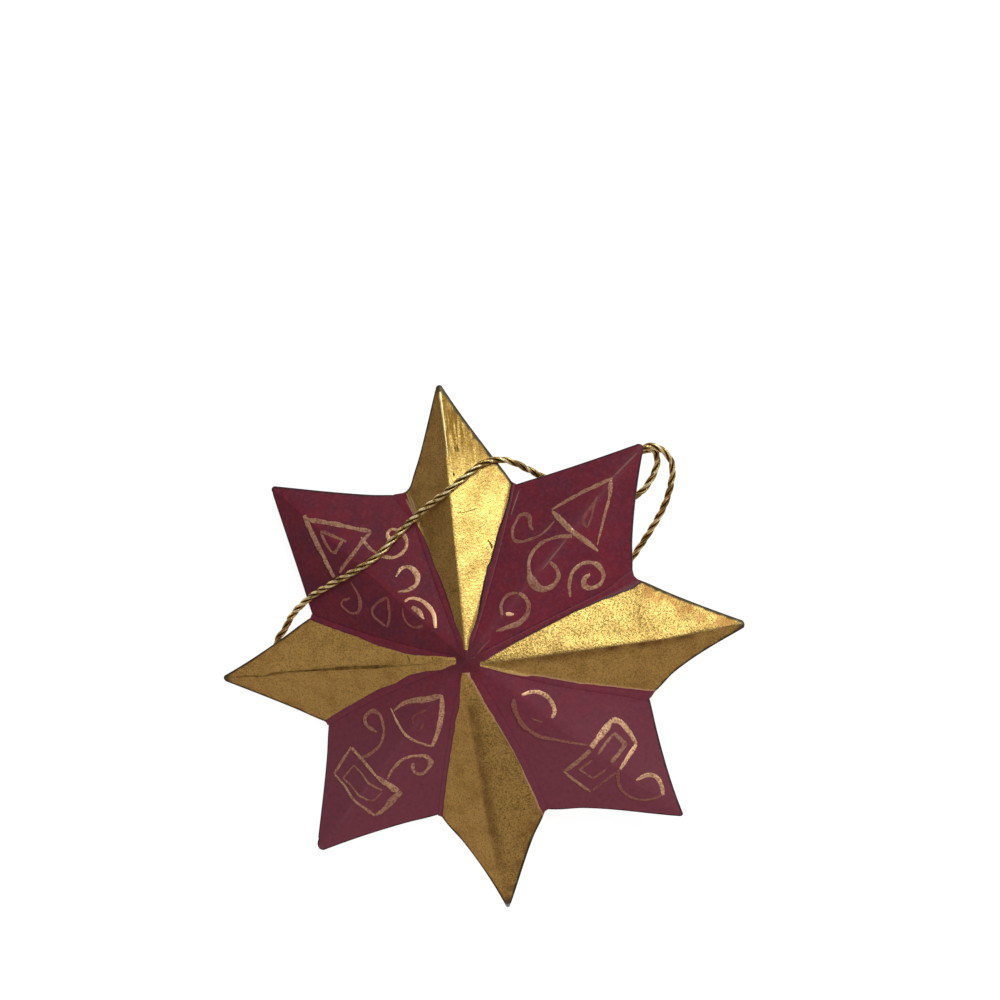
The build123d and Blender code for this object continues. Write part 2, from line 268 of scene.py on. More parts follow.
# Painted scrolls on the burgundy points. Each stroke has the kind of its line, its widths in pixels,
# how thick its paint lies (1 covers) and the places in the photograph that it goes through, in pixels.
STRAIGHT = "straight"
CURL = "curl"
SCROLLS = {
    "upper_left": (
        (STRAIGHT, (7.2, 6.2, 5.6), 0.62, ((305, 515), (320, 546), (335, 577))),
        (CURL, (4.0, 4.8, 4.0), 0.69, ((306, 519), (325, 523), (341, 526), (359, 530), (371, 532))),
        (CURL, (4.0, 5.0, 4.0), 0.6, ((371, 533), (363, 542), (355, 553), (347, 563), (340, 573))),
        (STRAIGHT, (3.5, 4.0, 3.5), 0.5, ((321, 531), (326, 542), (332, 552))),
        (STRAIGHT, (3.5, 3.5), 0.5, ((332, 552), (336, 552), (339, 548), (343, 541))),
        (STRAIGHT, (2.5, 3.0), 0.55, ((321, 531), (333, 536), (346, 542))),
        (CURL, (2.0, 3.0, 4.0, 3.5, 4.0), 0.85, (
            (361, 537), (366, 544), (373, 551), (388, 558), (397, 557), (406, 549),
            (406, 539), (396, 530), (389, 532), (389, 540),
        )),
        (CURL, (2.5, 4.5, 5.0, 2.5), 0.9, (
            (396, 577), (404, 568), (413, 570), (418, 582), (410, 590), (398, 592),
        )),
        (CURL, (3.0, 3.5, 4.5), 1.35, (
            (405, 602), (410, 599), (419, 600), (428, 606), (434, 615), (436, 628),
        )),
        (CURL, (2.0, 2.5, 2.5), 0.35, ((403, 608), (404, 616), (408, 623), (415, 627), (423, 626))),
        (CURL, (3.5, 4.0, 3.0), 0.84, ((412, 607), (419, 612), (424, 619))),
        (CURL, (2.0, 3.5, 5.0, 2.5, 2.5, 2.0), 0.37, (
            (351, 582), (357, 591), (361, 600), (361, 608), (356, 613), (346, 609), (342, 603), (350, 598),
        )),
        (CURL, (3.5, 3.5, 3.0), 0.35, ((388, 598), (390, 609), (390, 619), (388, 627))),
        (CURL, (2.5, 3.5, 3.0), 0.35, ((388, 627), (380, 621), (373, 613), (376, 605), (387, 597))),
    ),
    "upper_right": (
        (CURL, (3.0, 4.0, 5.0, 3.5), 0.6, ((552, 510), (570, 500), (585, 492), (600, 485), (613, 478))),
        (CURL, (4.0, 3.0, 2.5), 0.66, ((611, 480), (609, 497), (605, 512), (597, 545))),
        (CURL, (4.0, 5.0, 4.5, 3.5), 0.72, ((552, 511), (560, 519), (571, 530), (587, 542), (598, 551))),
        (STRAIGHT, (5.0, 5.0), 1.0, ((570, 530), (573, 531))),
        (CURL, (2.0, 2.5, 2.0), 0.35, ((598, 496), (594, 504), (592, 515), (587, 528))),
        (CURL, (2.0, 3.0, 2.0), 0.3, ((587, 528), (583, 521), (589, 510), (596, 499))),
        (CURL, (2.0, 3.0, 3.5, 3.5, 5.0, 3.0), 0.45, (
            (555, 521), (544, 533), (530, 540), (516, 541), (513, 535), (516, 523),
            (523, 515), (530, 518), (531, 526), (533, 530),
        )),
        (CURL, (4.0, 4.0, 4.0, 4.5, 8.0, 6.0, 4.0, 3.5), 0.57, (
            (572, 536), (556, 538), (542, 544), (531, 558), (530, 572), (536, 586),
            (546, 588), (557, 579), (557, 570), (550, 562),
        )),
        (CURL, (3.0, 4.0, 4.0, 4.0, 4.0, 6.0, 4.0), 0.7, (
            (570, 597), (569, 582), (575, 568), (589, 562), (601, 569), (602, 580),
            (593, 587), (584, 585), (584, 578), (590, 574),
        )),
        (CURL, (4.0, 4.0, 3.5), 0.5, ((502, 615), (502, 605), (508, 596), (518, 593))),
        (CURL, (3.5, 4.0, 5.0, 6.0, 3.0), 0.55, (
            (519, 593), (526, 599), (528, 609), (520, 621), (509, 626), (496, 631),
        )),
        (STRAIGHT, (3.5, 3.5), 1.0, ((506, 614), (514, 614))),
    ),
    "lower_left": (
        (CURL, (3.0, 4.5, 5.0, 5.5), 0.68, ((394, 711), (402, 705), (412, 701), (428, 699), (441, 695))),
        (CURL, (4.0, 4.5, 4.5), 0.85, ((442, 695), (442, 709), (438, 730), (432, 746))),
        (CURL, (3.5, 3.5, 3.0, 2.5), 0.75, ((432, 746), (415, 740), (406, 734), (398, 722), (391, 708))),
        (CURL, (2.0, 2.5, 2.5), 0.3, ((426, 710), (417, 714), (413, 719), (414, 724))),
        (STRAIGHT, (2.5, 2.0), 0.3, ((424, 723), (419, 731))),
        (CURL, (4.0, 3.5, 3.5, 4.5, 4.5, 4.0), 0.5, (
            (362, 758), (374, 752), (383, 740), (384, 725), (378, 712), (370, 713), (366, 721), (377, 732),
        )),
        (STRAIGHT, (4.0, 4.5), 0.64, ((352, 747), (335, 774))),
        (CURL, (3.0, 3.5, 4.0), 0.65, ((335, 774), (345, 785), (355, 800), (366, 808), (375, 815))),
        (CURL, (4.0, 5.5, 8.0, 6.5), 0.62, ((375, 815), (385, 807), (393, 797), (401, 791))),
        (STRAIGHT, (5.0, 8.0, 8.5), 0.7, ((377, 776), (389, 783), (399, 790))),
        (STRAIGHT, (4.0, 4.0), 0.7, ((352, 747), (364, 760), (377, 776))),
        (STRAIGHT, (2.0, 2.5), 0.55, ((354, 765), (344, 778), (351, 785), (359, 795), (369, 800))),
        (STRAIGHT, (2.5, 2.0), 0.45, ((369, 800), (374, 800), (382, 792))),
        (STRAIGHT, (2.0, 2.5), 0.55, ((354, 765), (362, 773), (369, 783), (382, 790))),
        (CURL, (2.5, 3.5, 4.0, 5.5, 3.5, 4.0, 3.0), 0.67, (
            (387, 779), (394, 767), (404, 758), (418, 755), (429, 757), (429, 766), (420, 773), (414, 770),
            (413, 763),
        )),
    ),
    "lower_right": (
        (CURL, (7.0, 6.0, 5.0, 4.0, 3.0, 2.0), 0.42, (
            (514, 699), (517, 712), (524, 724), (537, 734), (556, 739), (572, 742), (588, 745),
        )),
        (CURL, (3.0, 3.5, 4.5, 4.0), 0.95, (
            (522, 695), (531, 692), (541, 693), (551, 702), (554, 711), (552, 718),
        )),
        (CURL, (2.0, 2.5, 2.0), 0.4, ((532, 718), (537, 720), (543, 722))),
        (STRAIGHT, (6.5, 6.0, 5.5), 0.92, ((591, 747), (601, 734), (612, 720))),
        (CURL, (5.5, 5.0, 4.5), 1.0, ((612, 720), (618, 721), (628, 731), (636, 744))),
        (STRAIGHT, (4.5, 4.0), 1.1, ((636, 744), (628, 756), (620, 769))),
        (STRAIGHT, (2.5, 3.0), 0.4, ((620, 769), (604, 781), (591, 791))),
        (STRAIGHT, (4.0, 4.0), 0.62, ((591, 791), (577, 781), (564, 771))),
        (STRAIGHT, (4.0, 5.0), 0.6, ((564, 771), (576, 762), (590, 750))),
        (STRAIGHT, (3.5, 4.0), 0.6, ((614, 733), (625, 744), (618, 754), (611, 762))),
        (STRAIGHT, (2.5, 3.0), 0.55, ((614, 733), (605, 744), (598, 754))),
        (STRAIGHT, (2.5, 3.0), 0.45, ((592, 760), (580, 769), (593, 778))),
        (STRAIGHT, (3.0, 2.5), 0.5, ((593, 778), (606, 769))),
        (CURL, (5.0, 3.5, 2.5, 2.0), 0.4, (
            (618, 772), (620, 785), (627, 794), (640, 799), (654, 798), (662, 795),
        )),
        (CURL, (4.5, 4.0, 3.5, 2.5), 0.9, ((663, 795), (661, 786), (656, 777), (648, 775), (636, 780))),
    ),
}

# Cracks in the gold paint, and pale lines where it ends with painted highlights and sheen along folds and lap
# edges, by the sheet that carries them, in the same way
CRACKS = {
    "front_gold_point_top_sheet": (
        (CURL, (1.0, 1.0, 0.8), 0.2, ((457, 513), (466, 512), (478, 508))),
        (STRAIGHT, (1.0, 1.6), 0.75, ((457, 444), (458, 452))),
        (STRAIGHT, (1.0, 1.4), 0.6, ((454, 446), (456, 451))),
        (STRAIGHT, (1.2, 1.6), 0.9, ((453, 472), (454, 476))),
        (STRAIGHT, (1.2, 1.4), 0.8, ((450, 591), (459, 591))),
        (CURL, (1.2, 1.6, 1.2), 0.8, ((488, 540), (491, 545), (492, 549))),
    ),
    "front_gold_point_left_sheet": (
        (CURL, (1.2, 1.6, 1.2, 2.6, 1.6), 0.8, ((236, 677), (250, 676), (263, 676), (272, 674), (286, 672))),
        (CURL, (1.4, 1.6, 2.6, 2.8, 1.8), 0.9, ((286, 672), (318, 670), (349, 668), (372, 667), (395, 666))),
        (CURL, (1.8, 1.2, 1.0), 0.7, ((395, 666), (409, 665), (424, 664))),
        (CURL, (1.0, 1.4, 1.0), 0.8, ((407, 655), (409, 659), (410, 663))),
        (STRAIGHT, (1.0, 1.2), 0.8, ((432, 657), (433, 661))),
        (STRAIGHT, (1.0, 1.2), 0.6, ((345, 652), (346, 656))),
    ),
    "front_gold_point_bottom_sheet": (
        (CURL, (1.0, 1.2, 1.0), 0.7, ((471, 700), (476, 699), (483, 701))),
        (STRAIGHT, (1.0, 1.2), 0.6, ((463, 692), (466, 688))),
        (CURL, (0.8, 1.2, 1.0, 1.2, 0.8), 0.75, (
            (495, 722), (503, 736), (510, 748), (516, 759), (523, 773),
        )),
    ),
}
PALE_LINES_AND_HIGHLIGHTS = {
    "front_gold_point_top_sheet": (
        (CURL, (1.2, 1.6, 1.0), 0.12, ((406, 499), (409, 505), (413, 513), (418, 522))),
        (CURL, (1.0, 1.6, 1.0), 0.18, ((410, 495), (413, 503), (417, 513))),
        # Painted highlight along the top point's ridge
        (CURL, (3.6, 2.0, 1.6, 1.0), 0.85, ((440, 392), (442, 408), (445, 432), (448, 458))),
    ),
    "front_burgundy_star_sheet": (
        # Painted highlights along a lap edge and the upper right ridge, and a painted sheen near the hub
        (CURL, (1.0, 1.4, 1.0), 0.08, ((519, 491), (515, 503), (511, 515))),
        (STRAIGHT, (1.0, 1.6, 1.2), 0.05, ((613, 477), (626, 464), (637, 453))),
        (STRAIGHT, (1.0, 1.6, 1.0), 0.05, ((542, 570), (553, 556), (566, 540))),
        (CURL, (1.0, 1.8, 0.8), 0.0, ((477, 654), (483, 647), (490, 640))),
    ),
}

# Fine shape of a folded point, in millimetres or as shares; laps and ears thin between these times the reach
RIDGE_SOFTNESS = {True: 0.25, False: 0.8}
HUB_BLEND = (0.8, 4.0)
FEATHER = 0.25
LAP_THINS = (-1, 1)
EAR_FEATHER = 0.8
EAR_THINS = (1, 5)
EAR_LENGTH = 1.2
EAR_RAMP = 5.0
CREASE_HALVINGS = 24
RIM_EASE = 0.25
BOW_FADE = (44.5, 30.0)
HUB_EDGE = 3.2
HUB_STEP = 0.5
HUB_SINK = 0.25
SINK_RAMP = (1.4, 2.6)
DENT_SIZE = 7.0
DENT_FADE = 2.5
DENT_LAYER = 3.7

# Grid that is bent into one point of a sheet: places along it, each with the steps up to it, and its columns
GOLD_MARKS = ((1.5, 0), (4.0, 10), (24.0, 26), (27.5, 8), (29.4, 22), (42.8, 22))
BURGUNDY_MARKS = ((0.0, 0), (3.2, 12), (3.7, 4), (24.0, 26), (27.0, 10), (42.8, 22))
TIP_STEPS = 12
RIDGE_COLUMNS = 16
RIDGE_CROWDING = 1.7
LAP_COLUMNS = 4
ROLL_COLUMNS = 3
SIDE_COLUMNS = RIDGE_COLUMNS + LAP_COLUMNS + ROLL_COLUMNS
ROLL = 0.12
BORDER = 0.3
LEAST_CREASE = 0.05
WELD = 0.004 * MM
SMOOTH_ANGLE = math.radians(40)

# Wear and painted shade along a gold point, in millimetres: bare tip, fading of the painted shade beside the
# ridge and of the streaks, gold spilt past creases
BARE_TIP = (44.4, 44.8)
RIDGE_SHADE_START = 5.0
RIDGE_SHADE_END = 6.0
STREAK_FADE = 12.0
HUB_END = 2.2
HUB_SPILL = 0.8
SPILL_FADE = (12.0, 7.0)
NOTCH_SPILL = (19.0, 25.0)

# Slot in the back sheet for the cord, in millimetres
SLOT_PLACE = 38.0
SLOT_HEIGHT = -2.4
SLOT_SIZE = (5.0, 3.2, 4.0)
SLOT_CORNER = 0.4

# Brush strokes and worn lines; their wobble's size is in metres
STROKE_LIFT = 2.5 * MM
STROKE_HEIGHT = 0.1
LINE_HEIGHT = 0.3
STROKE_ENDS = 4
STROKE_END_WIDTH = 0.6
STROKE_SPREAD = 1.25
STROKE_WOBBLE = 0.35
STROKE_WOBBLE_SIZE = 0.0011
STROKE_STEPS = 10
BRUSH_SIDES = 3
PIXELS_PER_METRE = FOCAL_PIXELS / (CAMERA_DISTANCE * MM)

# Plies of the cord, its stretches of painted glints, dashes of painted highlight, as shares of its points
# with how bright they are, and the step in metres and share of a bright dash there
ROUTE_STEPS = 24
PLY_SIDES = 4
PAINTED_GLINTS = ((0.51, 0.63, 0.55), (0.63, 0.712, 1.0))
GLINT_STEP = 0.0018
GLINT_DASH = 0.62

# Knot inside the point, in millimetres along the point or as shares of the cord's thickness
KNOT_PLACE = 30.0
KNOT_CORE = 0.9
KNOT_WRAPS = 3
KNOT_STEPS = 20
KNOT_HALF = 1.5
WRAP_PITCH = 0.85
WRAP_BEDDING = 0.2
WRAP_SHARE = 0.9
LEAD_SHARE = 0.8
LEAD_START = -2.5
LEAD_BEND = 4.5
LEAD_DROP = -0.6

# Stage: floor, world and lamps in metres and degrees
FLOOR_SIZE = 3.0
FLOOR_GLOW = 0.72
FLOOR_WHITE = 1.25
FLOOR_ROUGHNESS = 0.9
WORLD_LEVEL = 0.268
LAMPS = {
    "key": {"power": 4.0, "size": 0.34, "azimuth": 66, "off_vertical": 27, "distance": 0.9},
    "fill": {"power": 2.6, "size": 0.6, "azimuth": -52, "off_vertical": 68, "distance": 1.0},
    "glint": {"power": 0.5, "size": 0.15, "azimuth": 220, "off_vertical": 36, "distance": 0.9},
}
KEY_COLOUR = (0.76, 1.0, 1.0)
CLIP_START = 0.01

# Shades of paint, wear, painted light and shade, foil and paper, as linear red, green, blue and alpha
BROWN_CLOUD = (0.122, 0.014, 0.034, 1.0)
RED_CLOUD = (0.208, 0.012, 0.024, 1.0)
FINE_MOTTLE = (0.235, 0.032, 0.052, 1.0)
PALE_FRECKLE = (0.26, 0.045, 0.065, 1.0)
DARK_FRECKLE = (0.085, 0.010, 0.018, 1.0)
DARK_HUB = (0.100, 0.008, 0.013, 1.0)
RUBBED_BURGUNDY_HIGHLIGHT = (0.34, 0.12, 0.14, 1.0)
BURGUNDY_RIM_SHADE = (0.030, 0.010, 0.014, 1.0)
GOLD_SPECK = (0.27, 0.145, 0.04, 1.0)
BROWN_BLUSH = (0.46, 0.19, 0.055, 1.0)
BROWN_STREAK = (0.27, 0.115, 0.022, 1.0)
RIDGE_SHADE_BROWN = (0.215, 0.082, 0.022, 1.0)
WORN_RIDGE = (0.085, 0.040, 0.018, 1.0)
RIM_SHADE = (0.065, 0.036, 0.014, 1.0)
WORN_TIP = (0.09, 0.065, 0.04, 1.0)
BARE_TIN = (0.34, 0.33, 0.31, 1.0)
SEAM_CREASE_SHADOW = (0.025, 0.008, 0.008, 1.0)
PALE_SEAM = (0.66, 0.33, 0.20, 1.0)
CRACK_EDGE = (0.60, 0.36, 0.10, 1.0)
CRACK_DEPTH = (0.075, 0.028, 0.006, 1.0)
THIN_RUB_AND_SHEEN = (0.21, 0.05, 0.06, 1.0)
PALE_RUB_AND_HIGHLIGHT = (1.0, 0.72, 0.34, 1.0)
DULL_FOIL = (0.26, 0.135, 0.034, 1.0)
DARK_THREAD = (0.14, 0.07, 0.018, 1.0)
SHADE_BETWEEN_PLIES = (0.085, 0.038, 0.006, 1.0)
PAINTED_FOIL_HIGHLIGHT = (1.0, 0.80, 0.46, 1.0)
PAPER = (0.88, 0.88, 0.88, 1.0)
WHITE = (1.0, 1.0, 1.0, 1.0)

# How paint takes light and how deep its relief is, in metres; brush marks are stretched along a point
PAINT_SPECULAR = 0.25
GOLD_RELIEF = 0.06 * MM
BURGUNDY_RELIEF = 0.08 * MM
STROKE_RELIEF = 0.06 * MM
THREAD_RELIEF = 0.08 * MM
BRUSHED = (0.22 * MM, 2.2 * MM, 0.0)
# The painted sheen greys the burgundy between these heights, towards the lower points
SHEEN_HEIGHTS = (0.006, -0.022)


# Settings that a user would change
class StarSizes(bpy.types.PropertyGroup):
    """Sizes of the folded tin, in millimetres"""

    peak: bpy.props.FloatProperty(
        name="Peak", description="Rim plane to the peak of either half", default=9.0
    )
    sharp_reach: bpy.props.FloatProperty(
        name="Sharp Reach", description="Centre to where the rims of a point would meet", default=45.8
    )
    notch_reach: bpy.props.FloatProperty(
        name="Notch Reach", description="Centre to the notch between two points", default=29.3
    )
    gold_half_angle: bpy.props.FloatProperty(
        name="Gold Half Angle",
        description="Half the angle between the notches beside a gold point",
        default=math.radians(19),
        subtype="ANGLE",
    )
    tip_rounding: bpy.props.FloatProperty(
        name="Tip Rounding", description="Radius of the worn end of a point", default=0.8
    )
    sheet: bpy.props.FloatProperty(name="Sheet", description="Thickness of the tin", default=0.2)
    lap_reach: bpy.props.FloatProperty(
        name="Lap Reach", description="How far a strip reaches past the valley", default=0.3
    )
    rim_land: bpy.props.FloatProperty(
        name="Rim Land", description="Height of the blunt rim of either half", default=0.16
    )
    dent: bpy.props.FloatProperty(
        name="Dent", description="Depth of the hand-beaten unevenness", default=0.09
    )


class StarColours(bpy.types.PropertyGroup):
    """Colours of the paints and the cord"""

    gold: bpy.props.FloatVectorProperty(
        name="Gold", description="Gold paint", subtype="COLOR", size=4,
        default=(0.84, 0.465, 0.138, 1),
    )
    gold_deep: bpy.props.FloatVectorProperty(
        name="Deep Gold", description="Thin and worn gold paint", subtype="COLOR", size=4,
        default=(0.68, 0.36, 0.10, 1),
    )
    burgundy: bpy.props.FloatVectorProperty(
        name="Burgundy", description="Burgundy paint", subtype="COLOR", size=4,
        default=(0.182, 0.013, 0.027, 1),
    )
    burgundy_deep: bpy.props.FloatVectorProperty(
        name="Deep Burgundy", description="Darker patches of it", subtype="COLOR", size=4,
        default=(0.150, 0.011, 0.025, 1),
    )
    # Painted sheen that greys the lower points
    burgundy_sheen: bpy.props.FloatVectorProperty(
        name="Grey Burgundy", description="Painted sheen on the lower points", subtype="COLOR", size=4,
        default=(0.185, 0.034, 0.052, 1),
    )
    scroll: bpy.props.FloatVectorProperty(
        name="Scroll", description="Gold brush strokes", subtype="COLOR", size=4,
        default=(1.0, 0.50, 0.29, 1),
    )
    scroll_thin: bpy.props.FloatVectorProperty(
        name="Thin Scroll", description="The same, thinly laid", subtype="COLOR", size=4,
        default=(0.64, 0.41, 0.20, 1),
    )
    cord: bpy.props.FloatVectorProperty(
        name="Cord", description="Metallic cord", subtype="COLOR", size=4,
        default=(0.66, 0.37, 0.095, 1),
    )


class CordSizes(bpy.types.PropertyGroup):
    """Sizes of the hanging cord"""

    diameter: bpy.props.FloatProperty(
        name="Diameter", description="Thickness of the twisted cord", default=0.0012, unit="LENGTH"
    )
    length: bpy.props.FloatProperty(
        name="Length", description="Length from slot to slot", default=0.2, unit="LENGTH"
    )
    plies: bpy.props.IntProperty(name="Plies", description="Strands twisted together", default=3)
    lay: bpy.props.FloatProperty(
        name="Lay", description="Length of one full twist", default=0.0068, unit="LENGTH"
    )


# Shape of a folded point, in its own frame: along its ridge, across it, and up from the rim plane
def smooth_step(low, high, value):
    """Goes smoothly from 0 at low to 1 at high; low may be the larger."""
    share = min(max((value - low) / (high - low), 0), 1)
    return share * share * (3 - 2 * share)


def half_angle(sizes, is_gold):
    """Half the angle of a point between its valleys."""
    if is_gold:
        return sizes.gold_half_angle
    return POINT_STEP - sizes.gold_half_angle


def notch_of(sizes, is_gold):
    """Place of a point's notch, along and across."""
    angle = half_angle(sizes, is_gold)
    return sizes.notch_reach * math.cos(angle), sizes.notch_reach * math.sin(angle)


def rim_angle(sizes, is_gold):
    """Angle between a point's ridge and its rim."""
    along, across = notch_of(sizes, is_gold)
    return math.atan2(across, sizes.sharp_reach - along)


def fold_height(sizes, is_gold, along, across):
    """Height of a point's two facets, with a small radius on the ridge."""
    notch_along, notch_across = notch_of(sizes, is_gold)
    fall_along = sizes.peak / sizes.sharp_reach
    fall_across = (sizes.peak - fall_along * notch_along) / notch_across
    ridge_radius = RIDGE_SOFTNESS[is_gold]
    soft_across = math.hypot(across, ridge_radius) - ridge_radius
    return sizes.peak - fall_along * along - fall_across * soft_across


def neighbour_height(sizes, is_gold, along, across):
    """Height of the next point's facet, on the side of the valley."""
    next_along = (along + across) / ROOT_TWO
    next_across = (along - across) / ROOT_TWO
    return fold_height(sizes, not is_gold, next_along, next_across)


def valley_line(sizes, along):
    """Across-place of the valley beside a gold point."""
    return along * math.tan(sizes.gold_half_angle)


def lap_height(sizes, along, across, rise):
    """Top of the strip that laps on the burgundy sheet: it thins out to its edge and to the hub."""
    rise *= smooth_step(*HUB_BLEND, along)
    past = (across - valley_line(sizes, along)) / sizes.lap_reach
    thinning = 1 - FEATHER * smooth_step(*LAP_THINS, past)
    thinning *= 1 - EAR_FEATHER * smooth_step(*EAR_THINS, past)
    return neighbour_height(sizes, True, along, across) + rise * thinning


def crease_line(sizes, along, rise):
    """Across-place where a gold facet bends into its strip, found by halving."""
    low = 0.0
    high = valley_line(sizes, along) + sizes.lap_reach
    for _ in range(CREASE_HALVINGS):
        middle = (low + high) / 2
        if fold_height(sizes, True, along, middle) > lap_height(sizes, along, middle, rise):
            low = middle
        else:
            high = middle
    return low


def rim_line(sizes, is_gold, along, waist, start, tip):
    """Across-place of a point's rim: drawn in between its start and the tip, and round at the tip."""
    angle = rim_angle(sizes, is_gold)
    straight = (sizes.sharp_reach - along) * math.tan(angle)
    share = min(max((along - start) / (sizes.sharp_reach - start), 0), 1)
    depth = waist[0] * (1 - share) + waist[1] * share
    drawn = straight - 4 * share * (1 - share) * depth * smooth_step(0, RIM_EASE, share)
    rounding = sizes.tip_rounding * tip
    centre = sizes.sharp_reach - rounding / math.sin(angle)
    if along <= centre:
        return drawn
    return min(drawn, math.sqrt(max(rounding**2 - (along - centre) ** 2, 0)))


def tip_end(sizes, is_gold, tip):
    """Along-place of a rounded tip."""
    rounding = sizes.tip_rounding * tip
    return sizes.sharp_reach - rounding / math.sin(rim_angle(sizes, is_gold)) + rounding


def notch_arc(sizes, rounding):
    """Centre of the arc that rounds a gold point's notch, and the along-places where it starts and ends."""
    notch_along, notch_across = notch_of(sizes, True)
    gold_rim = -rim_angle(sizes, True)
    burgundy_rim = POINT_STEP + rim_angle(sizes, False)
    half_notch = (burgundy_rim - gold_rim) / 2
    middle = (burgundy_rim + gold_rim) / 2
    distance = rounding / math.sin(half_notch)
    centre = Vector((notch_along + distance * math.cos(middle), notch_across + distance * math.sin(middle)))
    tangent = rounding / math.tan(half_notch)
    first = notch_along + tangent * math.cos(burgundy_rim)
    last = notch_along + tangent * math.cos(gold_rim)
    return centre, first, last


def gold_outline(sizes, along, trim, side):
    """Across-place of a gold piece's edge on one side: strip, rounded notch, rim."""
    notch_along, _ = notch_of(sizes, True)
    rounding = trim["notch"][side]
    ear = trim["ear"][side] * smooth_step(notch_along - EAR_RAMP, notch_along, along)
    reach = sizes.lap_reach * trim["lap"][side] + ear
    strip = valley_line(sizes, along) + reach / math.cos(sizes.gold_half_angle)
    centre, first, last = notch_arc(sizes, rounding)
    if along <= first:
        return strip
    if along < last:
        drop = math.sqrt(max(rounding**2 - (along - centre.x) ** 2, 0))
        return min(strip, centre.y - drop)
    swelling = trim["swell"][side] * smooth_step(last + EAR_LENGTH, last, along)
    rim = rim_line(sizes, True, along, trim["waist"][side], last, trim["tip"])
    return min(strip, rim + swelling)


def burgundy_outline(sizes, along, waist, tip):
    """Across-place of a burgundy point's edge: whole round the hub, then its valley, then its rim."""
    notch_along, _ = notch_of(sizes, False)
    if along >= notch_along:
        return rim_line(sizes, False, along, waist, notch_along, tip)
    valley = along * math.tan(half_angle(sizes, False))
    return along + (valley - along) * smooth_step(HUB_EDGE, HUB_EDGE + HUB_STEP, along)


def view_ray(pixel):
    """Direction in which the camera sees a pixel of the photograph."""
    across = (pixel[0] - PICTURE / 2) / FOCAL_PIXELS
    up = (PICTURE / 2 - pixel[1]) / FOCAL_PIXELS
    return Vector((across, up, -1)).normalized()


def rim_place(pixel):
    """Angle and reach, in the star's rim plane, of what a pixel shows."""
    normal = STAR_PLACE.to_3x3() @ Vector((0, 0, 1))
    seen = geometry.intersect_line_plane(
        CAMERA_PLACE, CAMERA_PLACE + view_ray(pixel), STAR_PLACE.translation, normal
    )
    flat = STAR_PLACE.inverted() @ seen / MM
    return math.atan2(flat.y, flat.x) - FIRST_ANGLE, math.hypot(flat.x, flat.y)


def outline_spokes(sizes):
    """Even angle of each tip and notch, and the real one's turn, share of the even reach and bulge."""
    spokes = []
    trims = GOLD_TRIM | BURGUNDY_TRIM
    for number, (label, (tip, notch, bulge)) in enumerate(OUTLINE.items()):
        is_gold = number % 2 == 0
        even = number * POINT_STEP
        for turn, reach, pixel, bent in (
            (0, tip_end(sizes, is_gold, trims[label]["tip"]), tip, 0.0),
            (half_angle(sizes, is_gold), sizes.notch_reach, notch, 4 * bulge / sizes.notch_reach),
        ):
            angle, real_reach = rim_place(pixel)
            stray = (angle - even - turn + math.pi) % math.tau - math.pi
            spokes.append((even + turn, stray, real_reach / reach, bent))
    spokes.append((math.tau, *spokes[0][1:]))
    return spokes


def hand_cut(sizes, along, across, direction, spokes):
    """Plan place of a point in the star, strayed as its maker's shears did."""
    reach = math.hypot(along, across)
    angle = (math.atan2(across, along) + direction) % math.tau
    for before, after in zip(spokes, spokes[1:]):
        if before[0] <= angle <= after[0]:
            share = (angle - before[0]) / (after[0] - before[0])
            stray = before[1] + share * (after[1] - before[1])
            stretch = before[2] + share * (after[2] - before[2])
            bent = before[3] + share * (after[3] - before[3])
            break
    angle += stray + bent * max(1 - reach / sizes.notch_reach, 0) + FIRST_ANGLE
    return reach * stretch * math.cos(angle), reach * stretch * math.sin(angle)


def dent_at(sizes, x, y, side, from_rim):
    """Unevenness of the beaten sheet, none at the rim."""
    wave = noise.noise(Vector((x / DENT_SIZE, y / DENT_SIZE, DENT_LAYER * side)))
    return sizes.dent * wave * smooth_step(0, DENT_FADE, from_rim)


def spread(marks, tip):
    """Stations between marked places, with the given steps in each stretch, crowded at the tip."""
    stations = [marks[0][0]]
    for (start, _), (end, steps) in zip(marks, marks[1:]):
        stations += [start + (end - start) * step / steps for step in range(1, steps + 1)]
    last = stations[-1]
    turns = [step / TIP_STEPS * math.pi / 2 for step in range(1, TIP_STEPS + 1)]
    return stations + [last + (tip - last) * math.sin(turn) for turn in turns]


def roll_of(edge):
    """Radius of the turned-down edge, less where the point is narrow."""
    return min(ROLL, edge / 3)


def column_place(column, crease, edge):
    """Across-place of a column, and how far it has turned down round the edge."""
    roll = roll_of(edge)
    if column <= RIDGE_COLUMNS:
        return crease * (column / RIDGE_COLUMNS) ** RIDGE_CROWDING, 0.0
    if column <= RIDGE_COLUMNS + LAP_COLUMNS:
        share = (column - RIDGE_COLUMNS) / LAP_COLUMNS
        return crease + (edge - roll - crease) * share, 0.0
    turn = (column - RIDGE_COLUMNS - LAP_COLUMNS) / ROLL_COLUMNS * math.pi / 2
    return edge - roll * (1 - math.sin(turn)), turn


